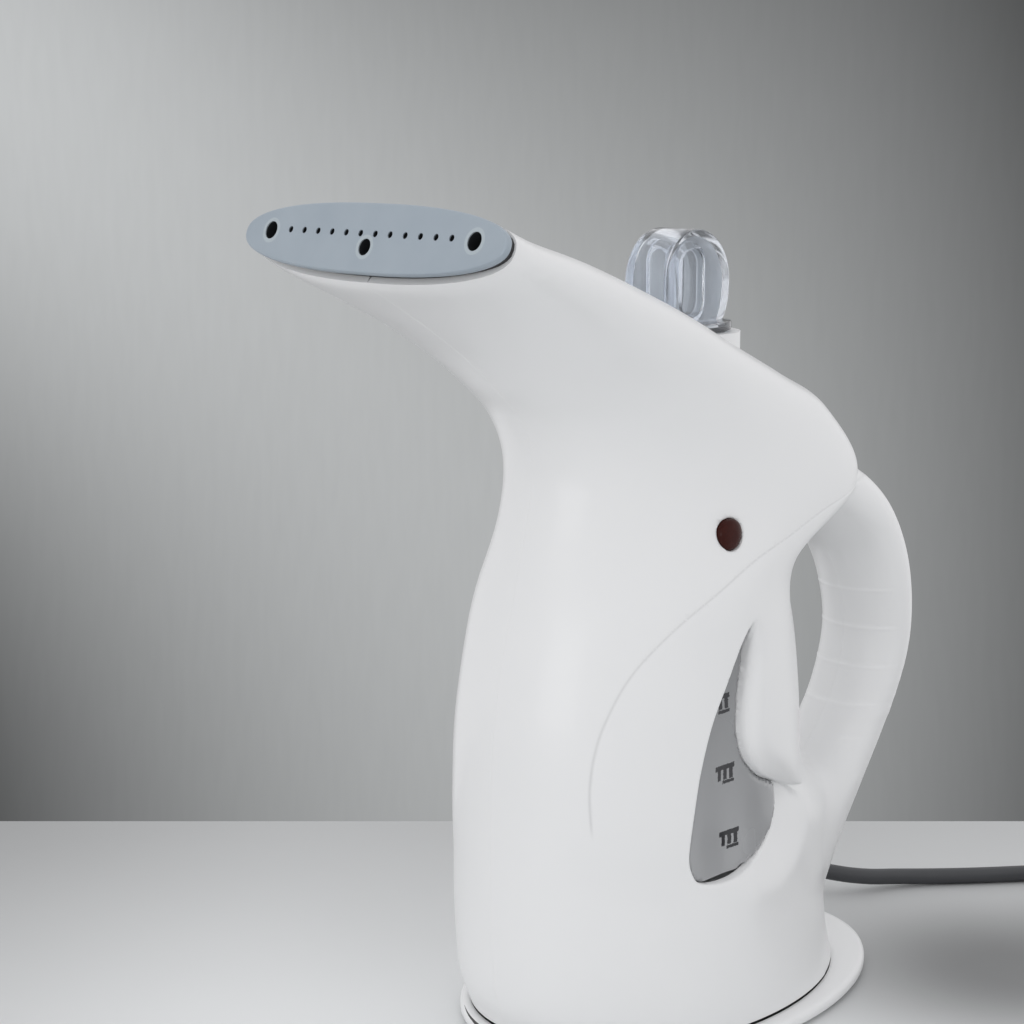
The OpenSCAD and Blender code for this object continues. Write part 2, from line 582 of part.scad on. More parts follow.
// A round pipe along a way, its outer and inner walls joined at both ends.
module pipe_along(way, r1, r2, n, ref) {
    m = 2 * len(way);
    loops = [for (k = [0 : n - 1]) concat(
        [for (i = [0 : len(way) - 1]) beside(way, i, r1, 360 * k / n, ref)],
        [for (i = [len(way) - 1 : -1 : 0]) beside(way, i, r2, 360 * k / n, ref)])];
    polyhedron(points = [for (l = loops) each l], convexity = 4,
        faces = [for (k = [0 : n - 1]) for (i = [0 : m - 1]) let (a = k * m + i, b = k * m + (i + 1) % m,
            c = (k + 1) % n * m + i, d = (k + 1) % n * m + (i + 1) % m) each [[a, d, b], [a, c, d]]]);
}
module along_exit() {
    translate([60, 26, 20]) rotate([0, 94, 32]) children();
}
module strain_relief() {
    color([0.12, 0.12, 0.12]) placed() along_exit() rotate_extrude($fn = 32)
        polygon([[cord_r, -8.5], [6.8, -8.5], [6.8, -6.5], [5.3, -6.5], [5.3, 5], [6.4, 5.5], [6.4, 7.5],
            [5, 8], [4.1, 20], [cord_r, 20]]);
}
module power_cord() {
    color([0.2, 0.2, 0.21]) placed() {
        cord_along(fill_way(cord_way, 2), cord_r, 10);
        cord_along(tail_way, cord_r, 10);
    }
}
module coil_section(more) {
    half = turn_span / 2;
    translate([-half, -cord_r]) square([turn_span, 2 * cord_r]);
    for (x = [-half, half]) for (z = [-cord_r, cord_r]) translate([x, z]) circle(r = cord_r + more, $fn = 24);
    translate([-half - cord_r - more, -cord_r]) square([turn_span + cord_d + 2 * more, cord_d]);
    translate([-half, -cord_d - more]) square([turn_span, 2 * cord_d + 2 * more]);
}
module cord_coil() {
    color([0.2, 0.2, 0.21]) placed() translate(coil_at) rotate_extrude($fn = 48) translate([coil_mean, 0])
        coil_section(0);
}
module cord_tie() {
    color([0.1, 0.1, 0.1]) placed() translate(coil_at) rotate([0, 0, 140])
        rotate_extrude(angle = 20, $fn = 48) translate([coil_mean, 0]) difference() {
            coil_section(tie_t);
            coil_section(0.1);
        }
}
module cord_clamp() {
    color([0.85, 0.85, 0.83]) placed() translate([42, 15, 24.2]) rotate([0, 0, 32]) difference() {
        translate([-4, -10, 0]) cube([8, 20, 3]);
        for (s = [-1, 1]) translate([0, s * 6.6, -1]) cylinder(h = 6, r = 1.5, $fn = 20);
    }
}
module clamp_screws() {
    color([0.7, 0.7, 0.72]) placed() for (p = clamp_spots()) translate([p[0], p[1], 0]) {
        translate([0, 0, 10]) cylinder(h = 17.2, r = 1.5, $fn = 20);
        translate([0, 0, 27.2]) cylinder(h = 1.8, r = 2.8, $fn = 20);
    }
}
module lead_wires() {
    color([0.75, 0.3, 0.15]) placed() {
        cord_along([[36, 10.9, 21.4], [33, 11, 21.5], [29, 14, 22], [28, 19, 20], [28, 19.5, 18.5]], 1.1, 6);
        cord_along([[12, 19, 16.5], [11.5, 18, 19.5], [12.5, 14, 21], [15, 10.5, 21.5], [16, 9.3, 22.5]], 1.1, 6);
        cord_along([[20, 19, 16.5], [21, 17, 19.5], [14, 8, 18], [4, 6, 18.6], [0, 5.2, 20.5]], 1.1, 6);
        cord_along([[0, -5.2, 20.5], [-2, -5.5, 18.5], [-9, 1, 18], [-11, 6.5, 21], [-11, 8.2, 26],
            [-11, 6.2, 29.5]], 1.1, 6);
        cord_along([[-11, -6.2, 29.5], [-11, -8.2, 26], [-6, -12, 20], [6, -13.5, 19], [14, -11, 20.5],
            [16, -9.3, 22.5]], 1.1, 6);
        cord_along([[28, 19.5, 16.5], [27, 24.5, 22], [36, 29, 28], [46, 24, 31], [55, 16, 32.5],
            [61, 10, 34], [66, 5, 38], [74, 2, 48], [84, 0, 58], [96, 0, 74], [105, 0, 92], [108, 0, 108],
            [104, 0, 126], [95, 0, 141], [85, -3, 149.5], [74, -7, 152.2], [63, -13, 160], [50, -20, 161.5],
            [30, -24, 160.5], [10, -18.6, 159], [0, -15, 159], [-5.5, -17, 159], [-6, -22, 159]], 1.1, 6);
    }
}
module plug_body() {
    color([0.15, 0.15, 0.16]) placed() translate(plug_at) difference() {
        union() {
            intersection() {
                translate([0, 0, -7.6]) linear_extrude(15.2) polygon([[-19, -17.6], [-9, -17.6], [4, -12],
                    [19, -7], [19, 7], [4, 12], [-9, 17.6], [-19, 17.6]]);
                rotate([90, 0, 0]) linear_extrude(60, center = true) polygon([[-19, -7.6], [4, -7.6],
                    [19, -5], [19, 5], [4, 7.6], [-19, 7.6]]);
            }
            rotate([0, 90, 0]) cylinder(h = 25, r = 4.6, $fn = 24);
        }
        rotate([0, 90, 0]) translate([0, 0, 19]) cylinder(h = 10, r = cord_r + 0.2, $fn = 24);
    }
}
module plug_pins() {
    color([0.8, 0.8, 0.8]) placed() for (s = [-1, 1]) translate(plug_at + [-19 - pin_l, s * pin_gap / 2, 0])
        rotate([0, 90, 0]) cylinder(h = pin_l, d = pin_d, $fn = 32);
}

right_housing();
left_housing();
foot_ring();
base_plate();
rubber_feet();
base_screws();
housing_screws();
steam_plate();
nozzle_gasket();
steam_baffle();
steam_tube();
tube_collar();
filler_neck();
filler_cap();
cap_seal();
water_tank();
tank_lid();
tank_seal();
boiler_disc();
boiler_screws();
heating_element();
thermostat();
thermal_fuse();
terminal_block();
lead_wires();
lamp_lens();
indicator_lamp();
lamp_clip();
cord_clamp();
clamp_screws();
strain_relief();
power_cord();
cord_coil();
cord_tie();
plug_body();
plug_pins();
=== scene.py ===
import math

import bmesh
import bpy
import numpy as np
from mathutils import Matrix, Vector


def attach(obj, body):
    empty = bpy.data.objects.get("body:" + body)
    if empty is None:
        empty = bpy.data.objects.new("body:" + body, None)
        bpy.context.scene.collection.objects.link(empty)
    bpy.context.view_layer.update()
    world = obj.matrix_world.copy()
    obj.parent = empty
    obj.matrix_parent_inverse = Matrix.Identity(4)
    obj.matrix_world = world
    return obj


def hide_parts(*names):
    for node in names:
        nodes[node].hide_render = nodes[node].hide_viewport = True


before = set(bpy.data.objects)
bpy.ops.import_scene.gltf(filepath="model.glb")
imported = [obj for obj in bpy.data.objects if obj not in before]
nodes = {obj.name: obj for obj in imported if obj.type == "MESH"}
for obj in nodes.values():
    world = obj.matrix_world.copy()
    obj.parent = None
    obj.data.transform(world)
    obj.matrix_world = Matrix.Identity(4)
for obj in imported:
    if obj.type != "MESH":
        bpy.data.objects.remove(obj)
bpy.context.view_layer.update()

# ---------------------------------------------------------------- camera
# A 74 mm lens looks at the steamer from in front and to its right. It stands a little higher than the
# steamer and is tilted 10 degrees down.
mm = 0.001
axis_x = -6.24


def at(x, y, z):
    """A place in metres from millimetres measured from the body's own axis."""
    return Vector(((x + axis_x) * mm, y * mm, z * mm))


camera = bpy.data.objects.new("camera", bpy.data.cameras.new("camera"))
bpy.context.scene.collection.objects.link(camera)
camera.location = at(-475.38, -443.3, 278)
camera.rotation_euler = (math.radians(90 - 10.318), 0, math.radians(46.75 - 90))
camera.data.lens = 73.83
camera.data.sensor_width = 36
camera.data.clip_start = 0.01
bpy.context.scene.camera = camera

# ---------------------------------------------------------------- shading tools
# Every finish is worked out from the piece's own coordinates with noise and ramps.


class Sock:
    """A node's output with arithmetic."""

    def __init__(self, tree, out):
        self.tree, self.out = tree, out

    def calc(self, op, a, b, clamp=False):
        return self.tree.node("ShaderNodeMath", {"operation": op, "use_clamp": clamp}, {0: a, 1: b})

    def __add__(self, other):
        return self.calc("ADD", self, other)

    __radd__ = __add__

    def __sub__(self, other):
        return self.calc("SUBTRACT", self, other)

    def __rsub__(self, other):
        return self.calc("SUBTRACT", other, self)

    def __mul__(self, other):
        return self.calc("MULTIPLY", self, other)

    __rmul__ = __mul__

    def __truediv__(self, other):
        return self.calc("DIVIDE", self, other)

    def __pow__(self, other):
        return self.calc("POWER", self, other)

    def below(self, other):
        return self.calc("LESS_THAN", self, other)

    def above(self, other):
        return self.calc("GREATER_THAN", self, other)

    def held(self):
        return self.calc("ADD", self, 0, clamp=True)


class Finish:
    """One material: a Principled shader and the nodes that feed it."""

    def __init__(self, name, **settings):
        self.mat = bpy.data.materials.new(name)
        self.mat.use_nodes = True
        self.grow(self.mat.node_tree)
        self.nodes.clear()
        self.shader = self.nodes.new("ShaderNodeBsdfPrincipled")
        end = self.nodes.new("ShaderNodeOutputMaterial")
        self.links.new(self.shader.outputs[0], end.inputs[0])
        self.set(**settings)

    def grow(self, tree):
        self.nodes, self.links = tree.nodes, tree.links

    def set(self, **settings):
        for key, value in settings.items():
            self.plug(self.shader.inputs[key.replace("_", " ")], value)

    def plug(self, socket, value):
        if isinstance(value, Sock):
            self.links.new(value.out, socket)
        elif isinstance(value, (tuple, list)) and len(value) == 3 and socket.type == "RGBA":
            socket.default_value = (*value, 1)
        else:
            socket.default_value = value

    def node(self, kind, settings=None, inputs=None, out=0):
        made = self.nodes.new(kind)
        for key, value in (settings or {}).items():
            if key == "stops":
                ramp = made.color_ramp
                while len(ramp.elements) < len(value):
                    ramp.elements.new(0.5)
                for element, (place, colour) in zip(ramp.elements, value):
                    element.position = place
                    element.color = (*colour, 1) if isinstance(colour, tuple) else (colour,) * 3 + (1,)
            else:
                setattr(made, key, value)
        for key, value in (inputs or {}).items():
            self.plug(made.inputs[key], value)
        return Sock(self, made.outputs[out])

    def place(self):
        return self.node("ShaderNodeTexCoord", out="Object")

    def axes(self):
        """The piece's own x, y and z, in the body's millimetres."""
        split = self.node("ShaderNodeSeparateXYZ", {}, {0: self.place()})
        x, y, z = (Sock(self, out) for out in split.out.node.outputs)
        return x / mm - axis_x, y / mm, z / mm

    def noise(self, scale, detail=2, rough=0.5, where=None):
        return self.node("ShaderNodeTexNoise", {}, {"Vector": where or self.place(), "Scale": scale,
                                                    "Detail": detail, "Roughness": rough})

    def mix(self, factor, a, b):
        return self.node("ShaderNodeMix", {"data_type": "RGBA"}, {0: factor, 6: a, 7: b}, out=2)

    def fade(self, value, start, end, low, high):
        """Eases from low to high as the value goes from start to end."""
        return self.node("ShaderNodeMapRange", {"interpolation_type": "SMOOTHSTEP"},
                         {0: value, 1: start, 2: end, 3: low, 4: high})

    def bump(self, height, distance, strength=1.0):
        return self.node("ShaderNodeBump", {}, {"Height": height, "Distance": distance,
                                                "Strength": strength})


def moulded(name, colour, rough, grain=9000, depth=0.00002, spread=0.06, tint=0.03):
    """Moulded plastic or rubber: a fine skin, slight flow marks and uneven gloss."""
    f = Finish(name)
    flow = f.noise(28, 3, 0.55)
    skin = f.noise(grain, 2, 0.6)
    dark = tuple(c * (1 - tint) for c in colour)
    f.set(Base_Color=f.mix(flow, dark, colour), Roughness=rough - spread / 2 + flow * spread,
          Normal=f.bump(skin, depth, 0.6))
    return f.mat


def metal(name, colour, rough):
    """Bare metal with faint rolling marks."""
    f = Finish(name, Metallic=1.0)
    marks = f.noise(900, 3, 0.6)
    f.set(Base_Color=f.mix(marks, tuple(c * 0.88 for c in colour), colour),
          Roughness=rough - 0.06 + marks * 0.12, Normal=f.bump(marks, 0.00002, 0.5))
    return f.mat


def dress(ob, mat):
    ob.data.materials.clear()
    ob.data.materials.append(mat)


# ---------------------------------------------------------------- mains cord
# A round two-core PVC lead, 5.8 mm thick. It leaves the rear of the base, drops to the table and runs
# off to where its spare length is wound in two layers of flat turns, held by a strap.
cord_r = 2.9
cord_way = [
    (40, 13.5, 21.4), (50, 19.8, 20.7), (60, 26, 20), (69.5, 32.9, 19.4), (79.9, 38.2, 18.2),
    (90.7, 38.6, 16.3), (100.3, 34.4, 14), (108.5, 24.2, 10.9), (117, 15, 8.2), (128, 8, 5.6),
    (141, 2, 3.9), (153, -6, 3.1), (165, -15.5, 2.95), (179, -26, 2.95), (192, -36, 3.1),
    (205, -46.2, 3.5)]
tail_way = [(180, -133.5, 9.4), (170, -131.7, 9), (161, -129, 8.5), (153, -127.2, 8.2), (145, -127, 8.2)]
coil_x, coil_y, coil_z = 190, -90, 6.6
coil_mean, turn_span = 33, 21.5
first_turn, last_turn = 53.13, -90 - 7 * 360
per_turn = 24
turns = []
count = int((first_turn - last_turn) / 360 * per_turn)
for k in range(count + 1):
    share = k / count
    angle = math.radians(first_turn + (last_turn - first_turn) * share)
    across = math.hypot(2 * share - 1, 0.045) * turn_span - turn_span / 2
    climb = min(1, max(0, (share - 0.5) * count / per_turn / 0.2 + 0.5))
    radius = coil_mean + across
    turns.append((coil_x + radius * math.cos(angle), coil_y + radius * math.sin(angle),
                  coil_z - cord_r + 2 * cord_r * climb * climb * (3 - 2 * climb)))
route = [at(*p) for p in cord_way + turns + tail_way]
line = bpy.data.curves.new("mains_cord", "CURVE")
line.dimensions = "3D"
line.bevel_depth = cord_r * mm
line.bevel_resolution = 5
line.resolution_u = 5
spline = line.splines.new("BEZIER")
spline.bezier_points.add(len(route) - 1)
for point, place in zip(spline.bezier_points, route):
    point.co = place
    point.handle_left_type = point.handle_right_type = "AUTO"
mains_cord = bpy.data.objects.new("mains_cord", line)
bpy.context.scene.collection.objects.link(mains_cord)
cord_cover = moulded("cord_cover", (0.055, 0.057, 0.062), 0.52, grain=5000, depth=0.00004, spread=0.12)
mains_cord.data.materials.append(cord_cover)
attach(mains_cord, "steamer")
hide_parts("power_cord", "cord_coil")
tuple(at(60, 26, 20))


# ---------------------------------------------------------------- housing
# Two halves of white ABS moulded to one flowing form: body, forward neck and closed grip. They meet
# on the middle plane and are screwed together. Each half has a level window with a soft lobe beside
# it, a scoop under the lobe, a raised grip panel that ends in a crease, and ribs for the fingers.
body_rows = [
    [-56, -8, 79, -8, 47, 2.1, 2, 0.47], [-61, 6, 76, 6, 49, 2.1, 2, 0.47],
    [-65.5, 18, 75, 20, 50, 2.1, 1.8, 0.47], [-67, 39, 86, 39, 50, 2.1, 1.4, 0.42],
    [-67.5, 56, 93, 55, 49.6, 2.1, 1.25, 0.41], [-67.5, 72, 67.5, 70, 49, 2.1, 1.55, 0.45],
    [-66.5, 98, 63.3, 98, 48, 2.1, 1.6, 0.45], [-63, 121, 61, 124, 46, 2.1, 1.6, 0.45],
    [-58.8, 138, 62, 146, 44.4, 2.1, 1.6, 0.46], [-53, 162, 95, 164, 40.5, 2.1, 1.8, 0.45],
    [-50.5, 179, 72, 190, 38.5, 2.1, 2.1, 0.45], [-54, 193, 46, 202.5, 39, 2.2, 2.2, 0.45],
    [-65, 204, 20, 213.5, 41, 2.2, 2.2, 0.5], [-76, 213.5, -7, 225, 43.5, 2.3, 2.3, 0.5],
    [-87, 221, -33, 235, 46, 2.3, 2.3, 0.5], [-99, 228.5, -61, 244, 50, 2.4, 2.4, 0.5],
    [-110, 235, -89, 251.5, 54, 2.4, 2.4, 0.5], [-115, 239.5, -108, 258.5, 55.5, 2.4, 2.4, 0.5],
    [-121, 241.7, -114, 260.7, 56, 2.4, 2.4, 0.5]]
grip_rows = [
    [72, 162, 12, 20], [88.2, 154.8, 13.4, 19], [102.5, 143, 14.2, 18], [111.8, 125, 14, 17.5],
    [114.2, 103, 12.6, 17], [105.8, 80, 11.3, 17], [91.2, 60, 12, 18], [76.8, 43, 14.6, 19], [64, 28, 16, 22]]
window_edge = [
    [-0.6, 131.2], [-4.4, 128.6], [-8, 124], [-12.4, 117.2], [-19.8, 105], [-24.6, 91.5], [-27.4, 77],
    [-28.7, 65], [-27, 58.6], [-24, 55.9], [-17, 54.7], [-8.4, 54.9], [0.4, 56.8], [10, 59.5], [17, 63.6],
    [21, 69], [20.6, 74.6], [18, 77], [9, 80.9], [2.6, 85.2], [-2.4, 90.6], [-4.8, 97], [-4.9, 103.2],
    [-3.4, 111.5], [-0.6, 120.5], [0.4, 127]]
crease_line = [
    [112, 160], [104, 162], [95, 163], [71.6, 162.4], [56, 161.6], [40.2, 159.9], [20, 155.2], [3.1, 150.8],
    [-12.9, 143.9], [-27.6, 136.2], [-38.3, 127.8], [-45.8, 118.8], [-51.5, 107.3], [-54.2, 98],
    [-55.4, 88.4], [-55.4, 79.7], [-55, 72]]
lobe_line = [
    [1.6, 134], [0.9, 127], [-0.3, 120.5], [-3.1, 111.5], [-4.6, 103.2], [-4.5, 97], [-2.1, 90.8],
    [2.8, 85.4], [9, 81.2], [18.7, 76.9], [29, 73], [38, 70], [48, 67.5], [58, 66]]
cap_x, collar_z = 12.5, 216.3
lamp_x, lamp_z, lamp_hole_r = -6, 159, 4.95
nozzle = Vector((-111.5, 0, 249))
nozzle_tilt = math.radians(20.2)
nozzle_way = Vector((-math.cos(nozzle_tilt), 0, math.sin(nozzle_tilt)))


def flowing(rows, steps, closed=False):
    """A smooth curve through the rows, with so many steps from each to the next."""
    rows = np.array(rows, float)
    last = len(rows) if closed else len(rows) - 1
    out = []
    for i in range(last):
        a, b, c, d = (rows[k % len(rows)] if closed else rows[min(max(k, 0), last)]
                      for k in (i - 1, i, i + 1, i + 2))
        for t in np.arange(steps) / steps:
            out.append(0.5 * (2 * b + (c - a) * t + (2 * a - 5 * b + 4 * c - d) * t * t
                              + (3 * b - 3 * c + d - a) * t ** 3))
    return np.array(out if closed else out + [rows[last]])


def body_ring(row, around):
    """One oval section of the body, in millimetres."""
    front, rear = np.array(row[:2]), np.array(row[2:4])
    middle = front + (rear - front) * row[7]
    t = np.arange(around) / around * 2 * math.pi
    back = np.cos(t) >= 0
    e = np.where(back, row[6], row[5])
    u = np.sign(np.cos(t)) * np.abs(np.cos(t)) ** (2 / e)
    v = np.sign(np.sin(t)) * np.abs(np.sin(t)) ** (2 / e) * row[4]
    reach = np.where(back[:, None], rear - middle, middle - front)
    p = middle + reach * u[:, None]
    return np.stack([p[:, 0], v, p[:, 1]], 1)


def grip_ring(before, row, after, around):
    """One oval section of the grip, square to its run."""
    way = np.array(after[:2]) - np.array(before[:2])
    across = np.array([-way[1], way[0]]) / np.linalg.norm(way) * (-1 if way[1] > 0 else 1)
    t = np.arange(around) / around * 2 * math.pi
    h = row[2] * np.cos(t)
    return np.stack([row[0] + across[0] * h, -row[3] * np.sin(t), row[1] + across[1] * h], 1)


def clear_selection():
    if bpy.context.mode != "OBJECT":
        bpy.ops.object.mode_set(mode="OBJECT")
    bpy.ops.object.select_all(action="DESELECT")


def active(ob):
    clear_selection()
    ob.select_set(True)
    bpy.context.view_layer.objects.active = ob


def skin(name, rings):
    """A grid rolled into a closed skin over rings of points, its seam merged and its ends filled."""
    rings = np.array(rings)
    count, around = rings.shape[:2]
    clear_selection()
    bpy.ops.mesh.primitive_grid_add(x_subdivisions=around, y_subdivisions=count - 1, size=1)
    ob = bpy.context.object
    ob.name = ob.data.name = name
    rolled = np.concatenate([rings, rings[:, :1]], 1).reshape(-1, 3)
    ob.data.vertices.foreach_set("co", (rolled + (axis_x, 0, 0)).ravel() * mm)
    bpy.ops.object.mode_set(mode="EDIT")
    bpy.ops.mesh.select_all(action="SELECT")
    bpy.ops.mesh.remove_doubles(threshold=0.00001)
    bpy.ops.mesh.select_all(action="DESELECT")
    bpy.ops.mesh.select_non_manifold(extend=False, use_wire=False, use_multi_face=False,
                                     use_non_contiguous=False, use_verts=False)
    bpy.ops.mesh.fill_holes(sides=0)
    bpy.ops.mesh.select_all(action="SELECT")
    bpy.ops.mesh.normals_make_consistent(inside=False)
    bpy.ops.object.mode_set(mode="OBJECT")
    return ob


def drum(name, x, y, z, r, h, sides=96, lying=False):
    """A cylinder from (x, y, z) upwards, or lying and running towards the left half."""
    clear_selection()
    place = at(x, y + h / 2, z) if lying else at(x, y, z + h / 2)
    bpy.ops.mesh.primitive_cylinder_add(vertices=sides, radius=r * mm, depth=h * mm, location=place,
                                        rotation=(math.pi / 2 if lying else 0, 0, 0))
    ob = bpy.context.object
    ob.name = ob.data.name = name
    settle(ob)
    return ob


def settle(ob):
    """Leaves a piece's object at the origin, with its place in its mesh."""
    active(ob)
    bpy.ops.object.transform_apply(location=True, rotation=True, scale=True)


def finish_with(ob, kind, **settings):
    """Adds a modifier and applies it."""
    active(ob)
    modifier = ob.modifiers.new(kind.lower(), kind)
    for key, value in settings.items():
        setattr(modifier, key, value)
    bpy.ops.object.modifier_apply(modifier=modifier.name)


def cut(ob, tool, how="DIFFERENCE"):
    """Cuts the tool's form out of the piece, or joins it on, and deletes the tool."""
    finish_with(ob, "BOOLEAN", object=tool, operation=how, solver="MANIFOLD")
    bpy.data.objects.remove(tool)


def smooth_over(ob, degrees):
    """Shades the piece smooth across edges no sharper than the angle."""
    active(ob)
    bpy.ops.object.shade_smooth_by_angle(angle=math.radians(degrees))


def points_of(ob):
    """The piece's vertices in the body's millimetres."""
    flat = np.empty(len(ob.data.vertices) * 3)
    ob.data.vertices.foreach_get("co", flat)
    return flat.reshape(-1, 3) / mm - (axis_x, 0, 0)


def put_points(ob, points):
    ob.data.vertices.foreach_set("co", ((points + (axis_x, 0, 0)) * mm).ravel())
    ob.data.update()


def normals_of(ob):
    """The way that each vertex faces."""
    flat = np.empty(len(ob.data.vertices) * 3)
    ob.data.vertices.foreach_get("normal", flat)
    return flat.reshape(-1, 3)


def from_line(x, z, line):
    """Distance of places in the side view from a line, positive on its right as it runs, and how far
    along the line the nearest spot is."""
    line = np.array(line, float)
    best = np.full(x.shape, 1e9)
    side = np.zeros(x.shape)
    along = np.zeros(x.shape)
    run = 0.0
    for a, b in zip(line[:-1], line[1:]):
        d = b - a
        size = np.hypot(*d)
        t = np.clip(((x - a[0]) * d[0] + (z - a[1]) * d[1]) / size ** 2, 0, 1)
        gap = np.hypot(x - a[0] - t * d[0], z - a[1] - t * d[1])
        near = gap < best
        best = np.where(near, gap, best)
        side = np.where(near, np.sign((z - a[1]) * d[0] - (x - a[0]) * d[1]), side)
        along = np.where(near, run + t * size, along)
        run += size
    return -best * side, along / run


def within(x, z, loop):
    """True for places inside a closed outline."""
    odd = np.zeros(x.shape, bool)
    for a, b in zip(loop, np.roll(loop, -1, 0)):
        crosses = (a[1] > z) != (b[1] > z)
        with np.errstate(divide="ignore", invalid="ignore"):
            odd ^= crosses & (x < a[0] + (z - a[1]) * (b[0] - a[0]) / (b[1] - a[1]))
    return odd


def ease(t):
    t = np.clip(t, 0, 1)
    return t * t * (3 - 2 * t)


crease = flowing(crease_line, 8)[:, :2]
window = flowing(window_edge, 8, closed=True)[:, :2]
window_loop = np.concatenate([window, window[:1]])
lobe = flowing(lobe_line, 8)[:, :2]
rows = flowing(body_rows, 10)
housing = skin("housing_right", [body_ring(row, 144) for row in rows])
rows = flowing(grip_rows, 12)
grip = skin("grip", [grip_ring(rows[max(i - 1, 0)], rows[i], rows[min(i + 1, len(rows) - 1)], 64)
                     for i in range(len(rows))])
active(grip)
housing.select_set(True)
bpy.context.view_layer.objects.active = housing
bpy.ops.object.join()
finish_with(housing, "REMESH", mode="VOXEL", voxel_size=0.0015)
finish_with(housing, "SMOOTH", factor=0.5, iterations=12)


def soften(ob, chosen, times):
    """Evens out the chosen vertices."""
    active(ob)
    bpy.ops.object.mode_set(mode="EDIT")
    bpy.ops.mesh.select_mode(type="VERT")
    bpy.ops.mesh.select_all(action="DESELECT")
    bm = bmesh.from_edit_mesh(ob.data)
    for v, take in zip(bm.verts, chosen):
        v.select_set(bool(take))
    bmesh.update_edit_mesh(ob.data)
    bpy.ops.mesh.vertices_smooth(factor=0.5, repeat=times)
    bpy.ops.object.mode_set(mode="OBJECT")


x, y, z = points_of(housing).T
for top, times in ((92, 5), (87, 6), (82, 8), (76, 16)):
    soften(housing, (x > 44) & (z < top) & (np.abs(y) > 4) & (x < 118 - 0.4 * (84 - z)), times)

# the filler's pocket is sunk in the neck, with a collar standing in it
cut(housing, drum("pocket", cap_x, 0, collar_z, 20.5, 60, 128))
collar = drum("collar", cap_x, 0, 190, 19.8, collar_z - 190, 128)
cut(housing, collar, "UNION")
cut(housing, drum("filler_hole", cap_x, 0, 180, 15.6, 60, 96))


def slice_at(ob, place, way, drop=False):
    """Cuts the piece at a plane, and may drop what lies on the way's side."""
    active(ob)
    bpy.ops.object.mode_set(mode="EDIT")
    bpy.ops.mesh.select_all(action="SELECT")
    bpy.ops.mesh.bisect(plane_co=place, plane_no=way, clear_outer=drop)
    bpy.ops.object.mode_set(mode="OBJECT")


slice_at(housing, at(0, 0, 0), (0, 1, 0), drop=True)
slice_at(housing, at(0, 0, 6), (0, 0, -1), drop=True)
slice_at(housing, at(*nozzle) - nozzle_way * 3.2 * mm, nozzle_way, drop=True)


def refine(ob, near, cuts, smooths):
    """Cuts the faces near a feature finer, so the feature's form is held by real edges."""
    active(ob)
    chosen = near(points_of(ob))
    mesh = ob.data
    bpy.ops.object.mode_set(mode="EDIT")
    bpy.ops.mesh.select_all(action="DESELECT")
    bm = bmesh.from_edit_mesh(mesh)
    bm.verts.ensure_lookup_table()
    for face in bm.faces:
        face.select_set(all(chosen[v.index] for v in face.verts))
    bmesh.update_edit_mesh(mesh)
    bpy.ops.mesh.subdivide(number_cuts=cuts, smoothness=0.0, quadcorner="INNERVERT")
    bm = bmesh.from_edit_mesh(mesh)
    for v in {v for e in bm.edges if e.is_boundary for v in e.verts}:
        v.select_set(False)
    bpy.ops.mesh.vertices_smooth(factor=0.5, repeat=smooths)
    bpy.ops.object.mode_set(mode="OBJECT")


def near_features(p):
    x, y, z = p.T
    side = y < -8
    d_crease, _ = from_line(x, z, crease)
    d_window, _ = from_line(x, z, window_loop)
    d_lobe, _ = from_line(x, z, lobe)
    d_lamp = np.hypot(x - lamp_x, z - lamp_z) - lamp_hole_r
    d_rib = np.abs(z[:, None] - np.array(rib_heights)).min(1)
    return (((np.abs(d_crease) < 2) & (z > 66))
            | (side & (np.abs(d_window) < 2.4)) | (side & (np.abs(d_lobe) < 2.4) & (x < 45) & (z < 134))
            | (side & (np.abs(d_lamp) < 2)) | ((x > 86) & (x < 112) & (d_rib < 2)))


rib_heights = [121, 107, 93.5, 81, 70.5]
refine(housing, near_features, cuts=3, smooths=4)


def side_depths(x, y, z):
    """How far the side wall is sunk at each place: crease, lobe, scoop and lips."""
    outer = ease((-y - 6) / 8)
    # the shoulder tucks under the grip's panel at the crease, more at its rear end than in front
    d, s = from_line(x, z, crease)
    end = ease((1 - s) / 0.06)
    wide = 0.9 + 2 * ease(1 - s / 0.45)
    tuck = (0.95 - 0.75 * ease(s / 0.6)) * end * np.exp(-np.maximum(d, 0) / 9) * ease(d / wide + 0.5)
    tuck = tuck + 0.06 * end * np.exp(-(d / 0.4) ** 2)
    # the lobe rolls down at its edge, and the scoop is a bowl round the window's foot
    d, s = from_line(x, z, lobe)
    d = -d
    fade = ease(s / 0.12) * ease((1 - s) / 0.42)
    t = np.clip(1 - np.maximum(d, 0) / 9, 0, 1)
    roll = 4.6 * fade * (1 - np.sqrt(1 - t * t)) * ease(1.5 + np.minimum(d, 0) / 2.5)
    bowl = np.hypot((x - 10) / 42, np.where(z < 70, (70 - z) / 26, (z - 70) / 30))
    scoop = 6.4 * np.clip(1 - bowl ** 2, 0, 1) ** 1.8 * ease((x + 26) / 12) * ease((92 - z) / 12)
    soft = 0.3 + 9 * ease((x - 24) / 24)
    scoop = scoop * (1 - ease((d + soft) / (2 * soft)))
    sunk = np.maximum(roll, scoop)
    # lips of the window and the lamp hole
    d, _ = from_line(x, z, window_loop)
    d = np.where(within(x, z, window), 0, np.abs(d))
    lip_r = 0.9
    t = np.clip(1 - d / lip_r, 0, 1)
    sunk = sunk + lip_r * (1 - np.sqrt(1 - t * t))
    t = np.clip(1 - (np.hypot(x - lamp_x, z - lamp_z) - lamp_hole_r) / 0.6, 0, 1)
    sunk = sunk + 0.6 * (1 - np.sqrt(1 - t * t))
    return outer * (tuck + sunk)


